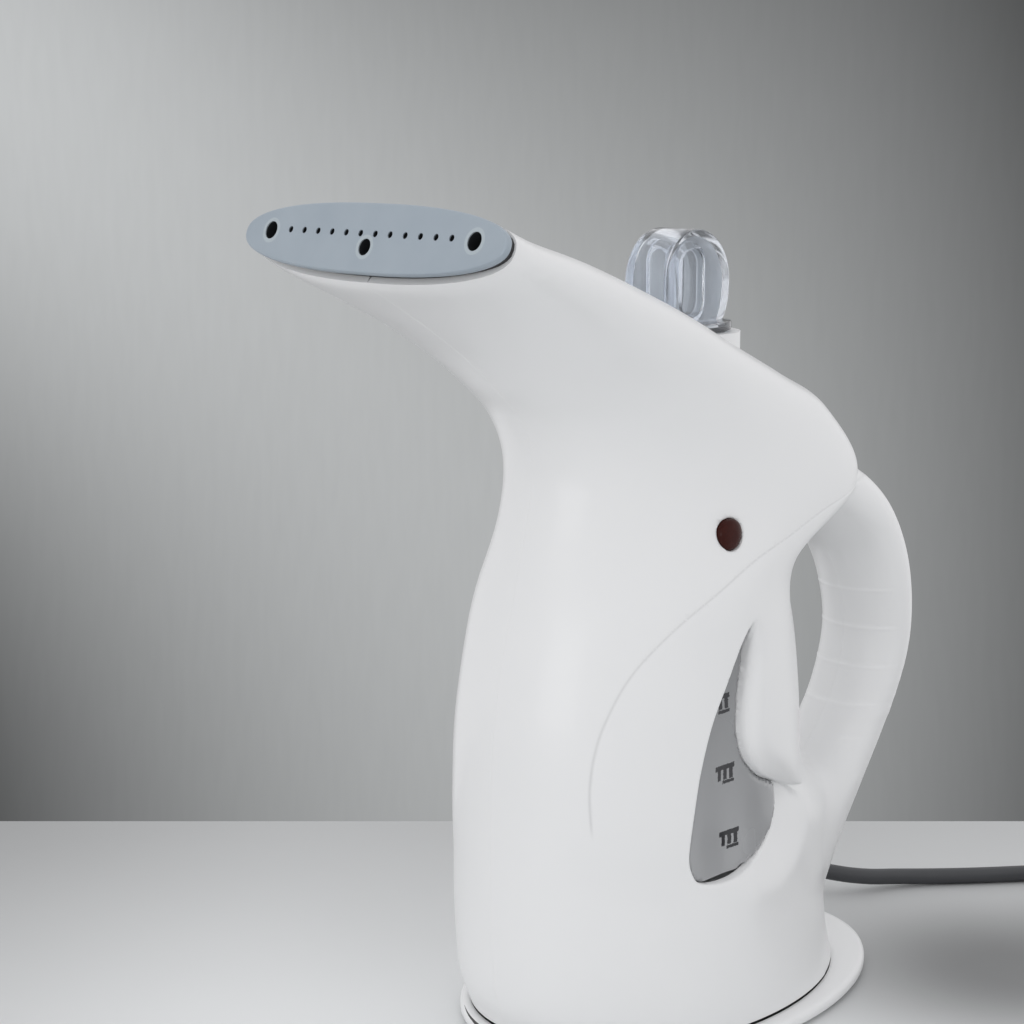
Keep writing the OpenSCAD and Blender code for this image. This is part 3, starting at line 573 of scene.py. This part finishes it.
def waist(x, z):
    """The body is drawn in behind the lobe, where the fingers pass."""
    return 2.1 * np.exp(-((z - 131) / 11) ** 2) * ease((x - 28) / 16) * ease((70 - x) / 6)


points = points_of(housing)
points[:, 1] += side_depths(*points.T)
points[:, 0] -= waist(points[:, 0], points[:, 2])
put_points(housing, points)
# fine ribs for the fingers cross the grip's inner face
normals = normals_of(housing)
rib = np.exp(-((points[:, 2:] - np.array(rib_heights)) / 0.65) ** 2).max(1)
rib = rib * ease((-normals[:, 0] - 0.3) / 0.5) * ease((points[:, 0] - 86) / 4)
points += normals * (0.18 * rib)[:, None]
put_points(housing, points)
# a fine painted shadow line is marked along the crease for the finish, and painted highlights along the
# finger ribs
d, s = from_line(points[:, 0], points[:, 2], crease)
width = 0.27 + 0.3 * ease(1 - s / 0.3)
painted_shade_and_highlight = np.exp(-(d / width) ** 2) * ease((1 - s) / 0.03) * (0.45 + 0.55 * ease(s / 0.4))
# the ribs count negative here: painted highlights along the finger ribs
painted_shade_and_highlight = painted_shade_and_highlight * ease((-points[:, 1] - 6) / 8) - rib
housing.data.attributes.new("crease_shade", "FLOAT", "POINT").data.foreach_set("value", painted_shade_and_highlight)
active(housing)
bpy.ops.object.mode_set(mode="EDIT")
bpy.ops.mesh.select_all(action="SELECT")
bpy.ops.mesh.normals_make_consistent(inside=False)
bpy.ops.object.mode_set(mode="OBJECT")

# the two halves meet in a hairline groove
slice_at(housing, at(0, -0.4, 0), (0, 1, 0))
points = points_of(housing)
normals = normals_of(housing)
normals[:, 1] = 0
points -= normals * (0.08 * (points[:, 1] > -0.01))[:, None]
put_points(housing, points)
finish_with(housing, "SOLIDIFY", thickness=0.0022, offset=-1, use_even_offset=False, use_rim=True)


def slab(name, outline, low, high, place):
    """A flat face through the outline's points, extruded from low to high, then stood in its place."""
    clear_selection()
    bpy.ops.mesh.primitive_circle_add(vertices=len(outline), radius=0.01, fill_type="NGON")
    ob = bpy.context.object
    ob.name = ob.data.name = name
    flat = np.column_stack([np.array(outline, float), np.full(len(outline), float(low))])
    ob.data.vertices.foreach_set("co", flat.ravel() * mm)
    bpy.ops.object.mode_set(mode="EDIT")
    bpy.ops.mesh.select_all(action="SELECT")
    bpy.ops.mesh.extrude_region_move(TRANSFORM_OT_translate={"value": (0, 0, (high - low) * mm)})
    bpy.ops.mesh.select_all(action="SELECT")
    bpy.ops.mesh.normals_make_consistent(inside=False)
    bpy.ops.object.mode_set(mode="OBJECT")
    ob.matrix_basis = place
    settle(ob)
    return ob


from_side = Matrix.Translation(at(0, 0, 0)) @ Matrix.Rotation(math.pi / 2, 4, "X")
cut(housing, slab("window_tool", window, 20, 70, from_side))
mirror_half = housing.copy()
mirror_half.data = housing.data.copy()
mirror_half.name = mirror_half.data.name = "housing_left"
bpy.context.scene.collection.objects.link(mirror_half)
points = points_of(mirror_half)
points[:, 1] *= -1
put_points(mirror_half, points)
active(mirror_half)
bpy.ops.object.mode_set(mode="EDIT")
bpy.ops.mesh.select_all(action="SELECT")
bpy.ops.mesh.flip_normals()
bpy.ops.object.mode_set(mode="OBJECT")
cut(housing, drum("lamp_tool", lamp_x, -60, lamp_z, lamp_hole_r, 40, 64, lying=True))

# the left half takes the cord's grommet at its foot, and its four screws stand in deep wells
screw_spots = [(88, 50), (80, 160), (-60, 211), (-52, 26)]
for x, z in screw_spots:
    reach = []
    for k in range(16):
        turn = k / 16 * 2 * math.pi
        found, spot, _, _ = mirror_half.ray_cast(at(x + 3.8 * math.cos(turn), 90, z + 3.8 * math.sin(turn)),
                                                 (0, -1, 0))
        reach.append(spot.y / mm if found else 90)
    cut(mirror_half, drum("bore", x, 8, z, 3, 60, 48, lying=True))
    well = drum("screw_well", x, 4, z, 3.8, min(reach) - 4.5, 48, lying=True)
    cut(well, drum("bore", x, 0, z, 3, 90, 48, lying=True))
    active(well)
    mirror_half.select_set(True)
    bpy.context.view_layer.objects.active = mirror_half
    bpy.ops.object.join()
clear_selection()
bpy.ops.mesh.primitive_cylinder_add(vertices=64, radius=5.6 * mm, depth=30 * mm, location=at(60, 26, 20),
                                    rotation=(0, math.radians(94), math.radians(32)))
settle(bpy.context.object)
cut(mirror_half, bpy.context.object)

f = Finish("housing_white", Coat_Weight=0.2, Coat_Roughness=0.12)
flow = f.noise(22, 3, 0.5)
line = f.node("ShaderNodeAttribute", {"attribute_name": "crease_shade"}, out="Fac")
shell = f.mix(flow, (0.80, 0.805, 0.81), (0.84, 0.842, 0.845))
# painted highlights lighten the finger ribs, and painted shade darkens the crease to a fine grey line
shell = f.mix((line * -0.35).held(), shell, (0.92, 0.925, 0.93))
f.set(Base_Color=f.mix((line * 0.26).held(), shell, (0.3, 0.3, 0.31)), Roughness=0.34 + flow * 0.08,
      Normal=f.bump(f.noise(7000, 2, 0.6), 0.00002, 0.5))
housing_white = f.mat
for half, stood_for in ((housing, "right_housing"), (mirror_half, "left_housing")):
    dress(half, housing_white)
    smooth_over(half, 38)
    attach(half, "steamer")
    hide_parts(stood_for)

# ---------------------------------------------------------------- water tank
# A smoke-grey translucent tank stands behind the windows, a blow-moulded cup with a welded lid that
# carries the filler neck. Its side stands up into each window as a pane, with printed level bars.
tank = skin("tank", [body_ring([r[0] + 3.1, r[1], r[2] - 3.1, r[3], r[4] - 3.1, *r[5:]], 144)
                     for r in flowing(body_rows[1:9], 10)])
finish_with(tank, "REMESH", mode="VOXEL", voxel_size=0.0012)
finish_with(tank, "SMOOTH", factor=0.5, iterations=6)
points = points_of(tank)
x, y, z = points.T
drawn = 4.6 * ease((x + 33) / 24) * ease((54 - x) / 26) * ease((z - 36) / 14) * ease((143 - z) / 12)
d, _ = from_line(x, z, window_loop)
pane = 2.7 * ease((np.where(within(x, z, window), np.abs(d), -np.abs(d)) + 0.5) / 1.1)
points[:, 1] += np.where(y < 0, 1, -1) * (drawn - pane) * ease((np.abs(y) - 6) / 12)
points[:, 0] -= 1.2 * waist(x, z) + 1.4 * ease((x - 44) / 10) * ease((z - 112) / 10)
put_points(tank, points)
slice_at(tank, at(0, 0, 36), (0, 0, -1), drop=True)
slice_at(tank, at(0, 0, 138.5), (0, 0, 1), drop=True)
slice_at(tank, at(62, 0, 0), (1, 0, 0), drop=True)
finish_with(tank, "SOLIDIFY", thickness=0.002, offset=-1)

f = Finish("tank_smoke", Coat_Weight=0.3, Coat_Roughness=0.08)
across, _, up = f.axes()


def bar(x0, x1, z0, z1):
    """A printed block on the pane, its edges as uneven as pad printing."""
    ragged = (f.noise(2600, 2, 0.6) - 0.5) * 0.9
    inside = (across + ragged).above(x0) * (across + ragged).below(x1)
    return inside * (up + ragged).above(z0) * (up + ragged).below(z1)


ink = 0.0
for x, z in ((-12.6, 108.4), (-11.3, 86.7), (-9.4, 66)):
    ink = bar(x - 4.6, x + 4.6, z + 1.5, z + 3) + ink
    for tick in (-2.6, 0.2, 3):
        ink = bar(x + tick - 0.85, x + tick + 0.85, z - 1.7, z + 1.9) + ink
    ink = bar(x - 1, x + 4.4, z - 2.9, z - 1.9) + ink
cloud = f.noise(16, 3, 0.5)
# the pane is painted darker towards its top: painted shade
shade = f.node("ShaderNodeMapRange", {}, {0: up, 1: 125, 2: 60, 3: 0.0, 4: 1.0})
smoke = f.mix(shade, (0.2, 0.205, 0.21), (0.36, 0.365, 0.375))
smoke = f.mix(cloud * 0.35, smoke, (0.42, 0.425, 0.435))
f.set(Base_Color=f.mix(ink.held(), smoke, (0.012, 0.012, 0.016)), Roughness=0.2 + cloud * 0.16,
      Normal=f.bump(f.noise(60, 2, 0.5), 0.0003, 0.25))
tank_smoke = f.mat
dress(tank, tank_smoke)
smooth_over(tank, 38)
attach(tank, "steamer")
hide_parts("water_tank")

# ---------------------------------------------------------------- steam plate
# A die-cast plate, blasted and anodised blue-grey, closes the nozzle. It has a row of twelve steam
# holes, a bright-rimmed locating bore at each end and a latch bore under the row. A skirt behind it
# plugs into the housing over a black rubber gasket.
on_nozzle = Matrix.Translation(at(*nozzle)) @ Matrix.Rotation(nozzle_tilt - math.pi / 2, 4, "Y")


def blunt_oval(inset, count=128):
    t = np.arange(count) / count * 2 * math.pi
    a, b = 10 - inset, 55 - inset
    return np.column_stack([np.sign(np.cos(t)) * np.abs(np.cos(t)) ** (1 / 1.2) * a,
                            np.sign(np.sin(t)) * np.abs(np.sin(t)) ** (1 / 1.2) * b])


def round_outline(x, y, r, count=40):
    t = np.arange(count) / count * 2 * math.pi
    return np.column_stack([x + r * np.cos(t), y + r * np.sin(t)])


def round_edges(ob, width, segments=3, angle=40):
    """Rolls the sharp edges over, as a mould or a die leaves them."""
    finish_with(ob, "BEVEL", width=width * mm, segments=segments, limit_method="ANGLE",
                angle_limit=math.radians(angle), use_clamp_overlap=True)


plate = slab("steam_plate_face", blunt_oval(0), -1.6, 0.8, on_nozzle)
round_edges(plate, 0.7, 4)
skirt = slab("skirt", blunt_oval(3.2), -6, -1.2, on_nozzle)
cut(skirt, slab("hollow", blunt_oval(4.4), -7, -1.6, on_nozzle))
cut(plate, skirt, "UNION")
holes = [(0.7, -43, 2.6, 4.1, -7.4, -5.2), (0.7, 43, 2.6, 4.1, -7.4, -5.2), (-2.6, 0, 2.4, 3.7, -6, -3.6)]
for u, v, r, boss_r, foot, floor_z in holes:
    cut(plate, slab("boss", round_outline(u, v, boss_r), foot, -1.2, on_nozzle), "UNION")
for u, v, r, boss_r, foot, floor_z in holes:
    cut(plate, slab("bore", round_outline(u, v, r), floor_z, 3, on_nozzle))
for k in range(12):
    cut(plate, slab("steam_hole", round_outline(1.2, (k - 5.5) * 6.2, 0.95, 24), -4, 3, on_nozzle))
round_edges(plate, 0.22, 2, 60)

f = Finish("plate_anodised", Metallic=0.4)
across, out, up = f.axes()
lean_u = (across - nozzle[0]) * math.sin(nozzle_tilt) + (up - nozzle[2]) * math.cos(nozzle_tilt)
depth = (up - nozzle[2]) * math.sin(nozzle_tilt) - (across - nozzle[0]) * math.cos(nozzle_tilt)
blast = f.noise(5200, 2, 0.65)
cloud = f.noise(70, 3, 0.5)
blue = f.mix(cloud, (0.33, 0.385, 0.44), (0.40, 0.455, 0.505))
rim = 0.0
sunk = (out.below(36) * out.above(-36)) * (lean_u.below(2.4) * lean_u.above(0))
for u, v, r, *_ in holes:
    off = ((out - v) * (out - v) + (lean_u - u) * (lean_u - u)) ** 0.5
    rim = off.below(r + 1.1 + (cloud - 0.5) * 0.8) + rim
    sunk = off.below(r + 0.25) + sunk
blue = f.mix(rim.held() * 0.3, blue, (0.62, 0.68, 0.68))
# the walls of the steam holes and bores below the face are painted near black: painted shade inside the holes
blue = f.mix((sunk.held() * depth.below(0.45)).held() * 0.95, blue, (0.01, 0.01, 0.012))
f.set(Base_Color=blue, Roughness=0.4 + blast * 0.14, Normal=f.bump(blast, 0.00003, 0.7))
dress(plate, f.mat)
smooth_over(plate, 35)
finish_with(plate, "WEIGHTED_NORMAL", keep_sharp=True, weight=80)
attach(plate, "steamer")
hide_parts("steam_plate")

gasket_rubber = moulded("gasket_rubber", (0.022, 0.022, 0.024), 0.45, grain=4000, depth=0.00004, spread=0.2)
dress(nodes["nozzle_gasket"], gasket_rubber)
dress(nodes["steam_baffle"], metal("baffle_steel", (0.62, 0.62, 0.62), 0.3))

# ---------------------------------------------------------------- filler
# The water goes in through a white neck. Its cap is moulded in clear polycarbonate: a threaded skirt,
# a flange and a hollow arched paddle, with a finger slot pressed into each broad face.
def turned_skin(name, profile, place, way=(0, 0, 1), count=64, thread=None):
    """A skin turned about a line; the profile lists radius and height, and a thread may be cut in it."""
    way = Vector(way).normalized()
    side = way.orthogonal().normalized()
    other = way.cross(side)
    t = np.arange(count) / count * 2 * math.pi
    ring = np.cos(t)[:, None] * np.array(side) + np.sin(t)[:, None] * np.array(other)
    out = []
    for r, h in profile:
        radius = r - (thread(h, t) if thread else 0)
        out.append(np.array(place) + h * np.array(way) + (radius * np.ones(count))[:, None] * ring)
    return skin(name, out)


def arch(inset, count=96):
    """The paddle's outline: straight sides under a flattened arch."""
    t = np.arange(count) / count * 2 * math.pi
    crown = np.where(np.sin(t) > 0, 1.0, 1 / 1.2)
    u = np.sign(np.cos(t)) * np.abs(np.cos(t)) ** crown * (15 - inset)
    tall = np.where(np.sin(t) > 0, 16.5 - inset, 17)
    v = 12 + tall * np.sign(np.sin(t)) * np.abs(np.sin(t)) ** crown
    return np.column_stack([u, np.maximum(v, 0)])


def finger_slot(grow, count=24):
    t = np.arange(count + 1) / count * math.pi
    r = 5 + grow
    top = np.column_stack([-2 + r * np.cos(t), 17.5 + r * np.sin(t)])
    low = np.column_stack([-2 - r * np.cos(t), 6.5 - r * np.sin(t)])
    return np.concatenate([top, low])


cap_z = collar_z + 0.3
paddle_place = Matrix.Translation(at(cap_x, 0, cap_z + 2.8)) @ Matrix.Rotation(math.pi / 2, 4, "X")
cap = slab("filler_cap_clear", arch(0), -8.5, 8.5, paddle_place)
for side in (-1, 1):
    low, high = sorted((side * 5.4, side * 12))
    cut(cap, slab("slot", finger_slot(0), low, high, paddle_place))
round_edges(cap, 0.9, 3, 50)
flange = turned_skin("flange", [(16.2, 0), (16.8, 0.2), (17, 0.7), (17, 2.4), (16.7, 2.85), (16, 3)],
                     (cap_x, 0, cap_z), count=96)
cut(cap, flange, "UNION")


def thread(h, t):
    """A rounded groove that climbs 3 mm a turn between the thread's ridges."""
    phase = (h / 3 - t / (2 * math.pi)) % 1
    return 0.9 * ease((0.5 - np.abs(phase - 0.5)) / 0.22) * ease((h + 12) / 1) * ease((-1 - h) / 1.4)


skirt = turned_skin("skirt", [(11.6, -12.3), (12.25, -11.7)] + [(12.25, -11.6 + 0.24 * k) for k in range(50)],
                    (cap_x, 0, cap_z), count=96, thread=thread)
cut(cap, skirt, "UNION")
cut(cap, drum("bore", cap_x, 0, cap_z - 14, 9.9, 14.4, 96))
hollow = slab("hollow", arch(2.3), -6.2, 6.2, paddle_place)
for side in (-1, 1):
    low, high = sorted((side * 3.2, side * 12))
    cut(hollow, slab("slot", finger_slot(2.2), low, high, paddle_place))
cut(hollow, drum("edge", cap_x, 0, cap_z - 2, 16, 3.6, 48))
cut(cap, hollow)

f = Finish("cap_clear", Transmission_Weight=0.94, IOR=1.32, Coat_Weight=0.3)
flow = f.noise(45, 3, 0.5)
f.set(Base_Color=f.mix(flow, (0.80, 0.84, 0.90), (0.90, 0.93, 0.97)), Roughness=0.03 + flow * 0.05,
      Normal=f.bump(flow, 0.0004, 0.15))
dress(cap, f.mat)
smooth_over(cap, 35)
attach(cap, "cap")
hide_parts("filler_cap")
dress(nodes["cap_seal"], gasket_rubber)
dress(nodes["filler_neck"], moulded("neck_white", (0.74, 0.745, 0.75), 0.4, tint=0.05))

# ---------------------------------------------------------------- lamp
# The pilot lamp shines through a domed dark red lens that snaps into the right half from outside.
lens_profile = [(0, 40.95), (1.6, 40.9), (3, 40.75), (4, 40.45), (4.55, 40.1), (4.8, 39.6), (4.8, 33),
                (3.9, 33), (3.9, 38.6), (0, 39)]
lens = turned_skin("lamp_lens_dome", lens_profile, (lamp_x, 0, lamp_z), (0, -1, 0), 72)
f = Finish("lens_red", Coat_Weight=0.08, Coat_Roughness=0.05, Specular_IOR_Level=0.12)
flow = f.noise(500, 2, 0.5)
f.set(Base_Color=f.mix(flow, (0.03, 0.004, 0.002), (0.045, 0.006, 0.003)), Roughness=0.22 + flow * 0.1)
dress(lens, f.mat)
smooth_over(lens, 45)
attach(lens, "steamer")
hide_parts("lamp_lens")
f = Finish("lamp_glass", Transmission_Weight=0.6, Roughness=0.1)
f.set(Base_Color=f.mix(f.noise(400), (0.8, 0.35, 0.2), (0.9, 0.6, 0.4)))
dress(nodes["indicator_lamp"], f.mat)
dress(nodes["lamp_clip"], gasket_rubber)

# ---------------------------------------------------------------- base
# The foot is a white moulded ring wider than the body, screwed on from below through four pillars, and
# it stands on four rubber feet. A dark inner plate above it carries the boiler and the cord's clamp.
def foot_oval(inset, count=160):
    t = np.arange(count) / count * 2 * math.pi
    u = np.cos(t)
    return np.column_stack([8 + np.where(u >= 0, 84 - inset, 73 - inset) * u, (54.5 - inset) * np.sin(t)])


def oval_hole(count=96):
    t = np.arange(count) / count * 2 * math.pi
    u = np.cos(t)
    return np.column_stack([4 + np.where(u >= 0, 52, 44) * u, 27 * np.sin(t)])


base_frame = Matrix.Translation(at(0, 0, 0))
layers = [(1.1, 1.4), (0.35, 1.6), (0, 2.1), (0, 3.5), (0.3, 4.3), (1.1, 4.85), (2.2, 5)]
foot = skin("foot_ring_moulded",
            [np.column_stack([foot_oval(inset), np.full(160, z)]) for inset, z in layers])
cut(foot, slab("middle", oval_hole(), -2, 12, base_frame))
for x, y in ((-53, 0), (72, 0), (12, 40), (12, -40)):
    cut(foot, drum("foot_seat", x, y, -2, 6, 4.6, 48))
for x, y in ((-42, 33), (-42, -33), (44, 33.4), (44, -33.4)):
    cut(foot, drum("head_seat", x, y, -2, 3.1, 5.2, 32))
    cut(foot, drum("screw_hole", x, y, -2, 1.7, 12, 24))
middle = np.array([7.5, 0])
rim_line = middle + (body_ring(body_rows[1], 160)[:, :2] - middle) * 0.996
cut(foot, slab("rim_seat", rim_line, 3.8, 9, base_frame))

f = Finish("foot_white", Coat_Weight=0.2, Coat_Roughness=0.12)
across, out, up = f.axes()
flow = f.noise(22, 3, 0.5)
inner = (((across - 9) / 74) ** 2 + (out / 51.5) ** 2).below(1)
# the foot's top inside the body's rim is painted near black: painted shade in the gap under the rim
painted_gap_shade = inner * up.below(4.75) * up.above(3.4)
white = f.mix(flow, (0.80, 0.805, 0.81), (0.84, 0.842, 0.845))
f.set(Base_Color=f.mix(painted_gap_shade, white, (0.02, 0.02, 0.02)),
      Roughness=0.36 + flow * 0.08, Normal=f.bump(f.noise(7000, 2, 0.6), 0.00002, 0.5))
dress(foot, f.mat)
smooth_over(foot, 40)
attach(foot, "steamer")
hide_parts("foot_ring")
dress(nodes["rubber_feet"], moulded("feet_rubber", (0.03, 0.03, 0.03), 0.7, grain=2500, depth=0.00006))
dress(nodes["base_plate"], moulded("base_grey", (0.06, 0.06, 0.065), 0.5, grain=3000, depth=0.00004))
screw_steel = metal("screw_steel", (0.58, 0.58, 0.6), 0.32)
for name in ("base_screws", "housing_screws", "clamp_screws", "boiler_screws"):
    dress(nodes[name], screw_steel)

# ---------------------------------------------------------------- inside
# The boiler under the tank, its parts and the steam's way to the nozzle are out of sight; they keep
# their plain forms with the finish of each real material.
dress(nodes["boiler_disc"], metal("cast_aluminium", (0.72, 0.73, 0.74), 0.45))
dress(nodes["heating_element"], metal("element_steel", (0.4, 0.39, 0.37), 0.38))
dress(nodes["thermostat"], moulded("bakelite", (0.05, 0.04, 0.035), 0.35, grain=1500))
dress(nodes["thermal_fuse"], moulded("ceramic", (0.75, 0.7, 0.58), 0.5, grain=2500, depth=0.00005))
dress(nodes["terminal_block"], moulded("block_nylon", (0.75, 0.73, 0.66), 0.45))
dress(nodes["cord_clamp"], moulded("clamp_nylon", (0.7, 0.69, 0.64), 0.45))
dress(nodes["lead_wires"], moulded("wire_cover", (0.45, 0.14, 0.07), 0.45, grain=1500))
dress(nodes["steam_tube"], moulded("silicone_pale", (0.62, 0.61, 0.56), 0.55, grain=2000))
silicone = moulded("silicone_red", (0.5, 0.12, 0.06), 0.55, grain=2000)
dress(nodes["tube_collar"], silicone)
dress(nodes["tank_seal"], silicone)
dress(nodes["tank_lid"], tank_smoke)

# ---------------------------------------------------------------- cord's fittings
# A moulded PVC sleeve holds the cord in the left half's foot and tapers along it in soft rings. The
# plug is moulded on the far end, and a strap holds the coil.
exit_place = (60, 26, 20)
tilt, swing = math.radians(94), math.radians(32)
exit_way = (math.sin(tilt) * math.cos(swing), math.sin(tilt) * math.sin(swing), math.cos(tilt))
sleeve = [(2.95, -8.5), (6.4, -8.5), (6.8, -8.1), (6.8, -6.9), (6.5, -6.5), (5.3, -6.5), (5.3, 5), (6.1, 5.2),
          (6.4, 5.6), (6.4, 7.2), (6, 7.7), (5.1, 8)]
for k in range(5):
    start = 8.3 + 2.3 * k
    fat = 5.1 - 0.2 * k
    sleeve += [(fat - 0.75, start), (fat - 0.75, start + 0.5), (fat, start + 0.8), (fat - 0.08, start + 2.1)]
sleeve += [(3.9, 19.8), (3.4, 20), (2.95, 20), (2.95, -8.5)]
relief = turned_skin("strain_relief_sleeve", sleeve, exit_place, exit_way, 64)
dress(relief, cord_cover)
smooth_over(relief, 50)
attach(relief, "steamer")
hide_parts("strain_relief")

dress(nodes["plug_body"], cord_cover)
dress(nodes["plug_pins"], metal("pin_brass", (0.72, 0.68, 0.58), 0.22))
dress(nodes["cord_tie"], moulded("strap_black", (0.02, 0.02, 0.022), 0.6, grain=1200, depth=0.0001))

# ---------------------------------------------------------------- table
# A pale grey table top, 25 mm thick. Its far edge lies a hand's width behind the steamer, and it is
# darker towards that edge and to the far left, where less light falls on it. A painted shadow of the
# steamer lies on it to the steamer's right.
turn = math.radians(43.25)
far, near, reach = 173, -1800, 2600
corners = []
for ahead, aside in ((far, -reach), (far, reach), (near, reach), (near, -reach)):
    corners.append((ahead * math.sin(turn) + aside * math.cos(turn),
                    ahead * math.cos(turn) - aside * math.sin(turn)))
table = slab("table_top", np.array(corners), -25, 0, Matrix.Translation(at(0, 0, 0)))
f = Finish("table", Roughness=0.55)
x, y, _ = f.axes()
ahead = x * math.sin(turn) + y * math.cos(turn)
aside = x * math.cos(turn) - y * math.sin(turn)
near_side = f.fade(ahead, 200, -60, 0.5, 0.83)
left = f.fade(aside, -110, -290, 1.0, 0.66)
mottle = 0.97 + f.noise(9, 3, 0.5) * 0.06
# a painted shadow: the steamer's shadow is painted on the table to its right
from_painted_shadow = (((aside - 125) / 100) ** 2 + ((ahead - 20) / 92) ** 2) ** 0.5
painted_shadow = f.fade(from_painted_shadow, 0.1, 1.05, 0.27, 1.0)
level = near_side * left * mottle * painted_shadow
f.set(Base_Color=f.node("ShaderNodeCombineColor", {}, {0: level * 0.985, 1: level, 2: level * 1.005}))
dress(table, f.mat)

# ---------------------------------------------------------------- room
# Even grey light from all round, with a softly lit wall far behind the table: a bright patch at the
# upper left that falls off to the right and into the lower left corner.
world = bpy.data.worlds.new("room")
bpy.context.scene.world = world
world.use_nodes = True
room = Finish("room_tools")
room.grow(world.node_tree)
split = room.node("ShaderNodeSeparateXYZ", {}, {0: room.node("ShaderNodeTexCoord", out="Generated")})
x, y, z = (Sock(room, out) for out in split.out.node.outputs)
aside = x * math.cos(turn) - y * math.sin(turn)
ahead = x * math.sin(turn) + y * math.cos(turn)


def glow(peak, u, v, wide, tall, lean):
    """A soft oval patch of light on the wall."""
    du, dv = aside * 5 - u * 5, z * 5 - v * 5
    fall = du * du * (wide * wide) + du * dv * lean + dv * dv * (tall * tall)
    return room.node("ShaderNodeMath", {"operation": "EXPONENT"}, {0: fall * -1.0}) * peak


upper_left = glow(0.6945, -0.3172, 0.0794, 0.8959, 0.8787, 0.6107)
low_middle = glow(0.6976, 0.035, -0.2475, 0.6068, 0.3635, -0.0759)
wall = upper_left + low_middle - 0.3141
weave = room.noise(260, 2, 0.5, room.node("ShaderNodeCombineXYZ", {}, {0: aside, 1: z * 0.15, 2: 0.0}))
wall = wall * (0.97 + weave * 0.06)
wall = room.node("ShaderNodeMath", {"operation": "MAXIMUM"}, {0: wall, 1: 0.09})
beside = room.node("ShaderNodeMath", {"operation": "ABSOLUTE"}, {0: aside})
facing = room.fade(beside, 0.25, 0.42, 1.0, 0.0) * room.fade(z, 0.07, 0.3, 1.0, 0.0) * ahead.above(0.0)
tinted = room.node("ShaderNodeCombineColor", {}, {0: wall * 0.981, 1: wall * 1.005, 2: wall * 1.013})
back = world.node_tree.nodes["Background"]
room.plug(back.inputs[0], room.mix(facing, (0.88, 0.88, 0.89), tinted))
back.inputs[1].default_value = 1.0

# one soft box lamp, low in front and to the left, brings out the plate and the front of the body
box = bpy.data.lights.new("left_box", "AREA")
box.shape = "RECTANGLE"
box.size, box.size_y = 0.5, 0.3
box.energy = 0.8
left_box = bpy.data.objects.new("left_box", box)
bpy.context.scene.collection.objects.link(left_box)
left_box.location = (-0.9, -0.2, 0.22)
left_box.visible_camera = False
left_box.rotation_euler = (at(-60, 0, 225) - left_box.location).to_track_quat("-Z", "Y").to_euler()

bpy.context.scene.view_settings.view_transform = "Standard"
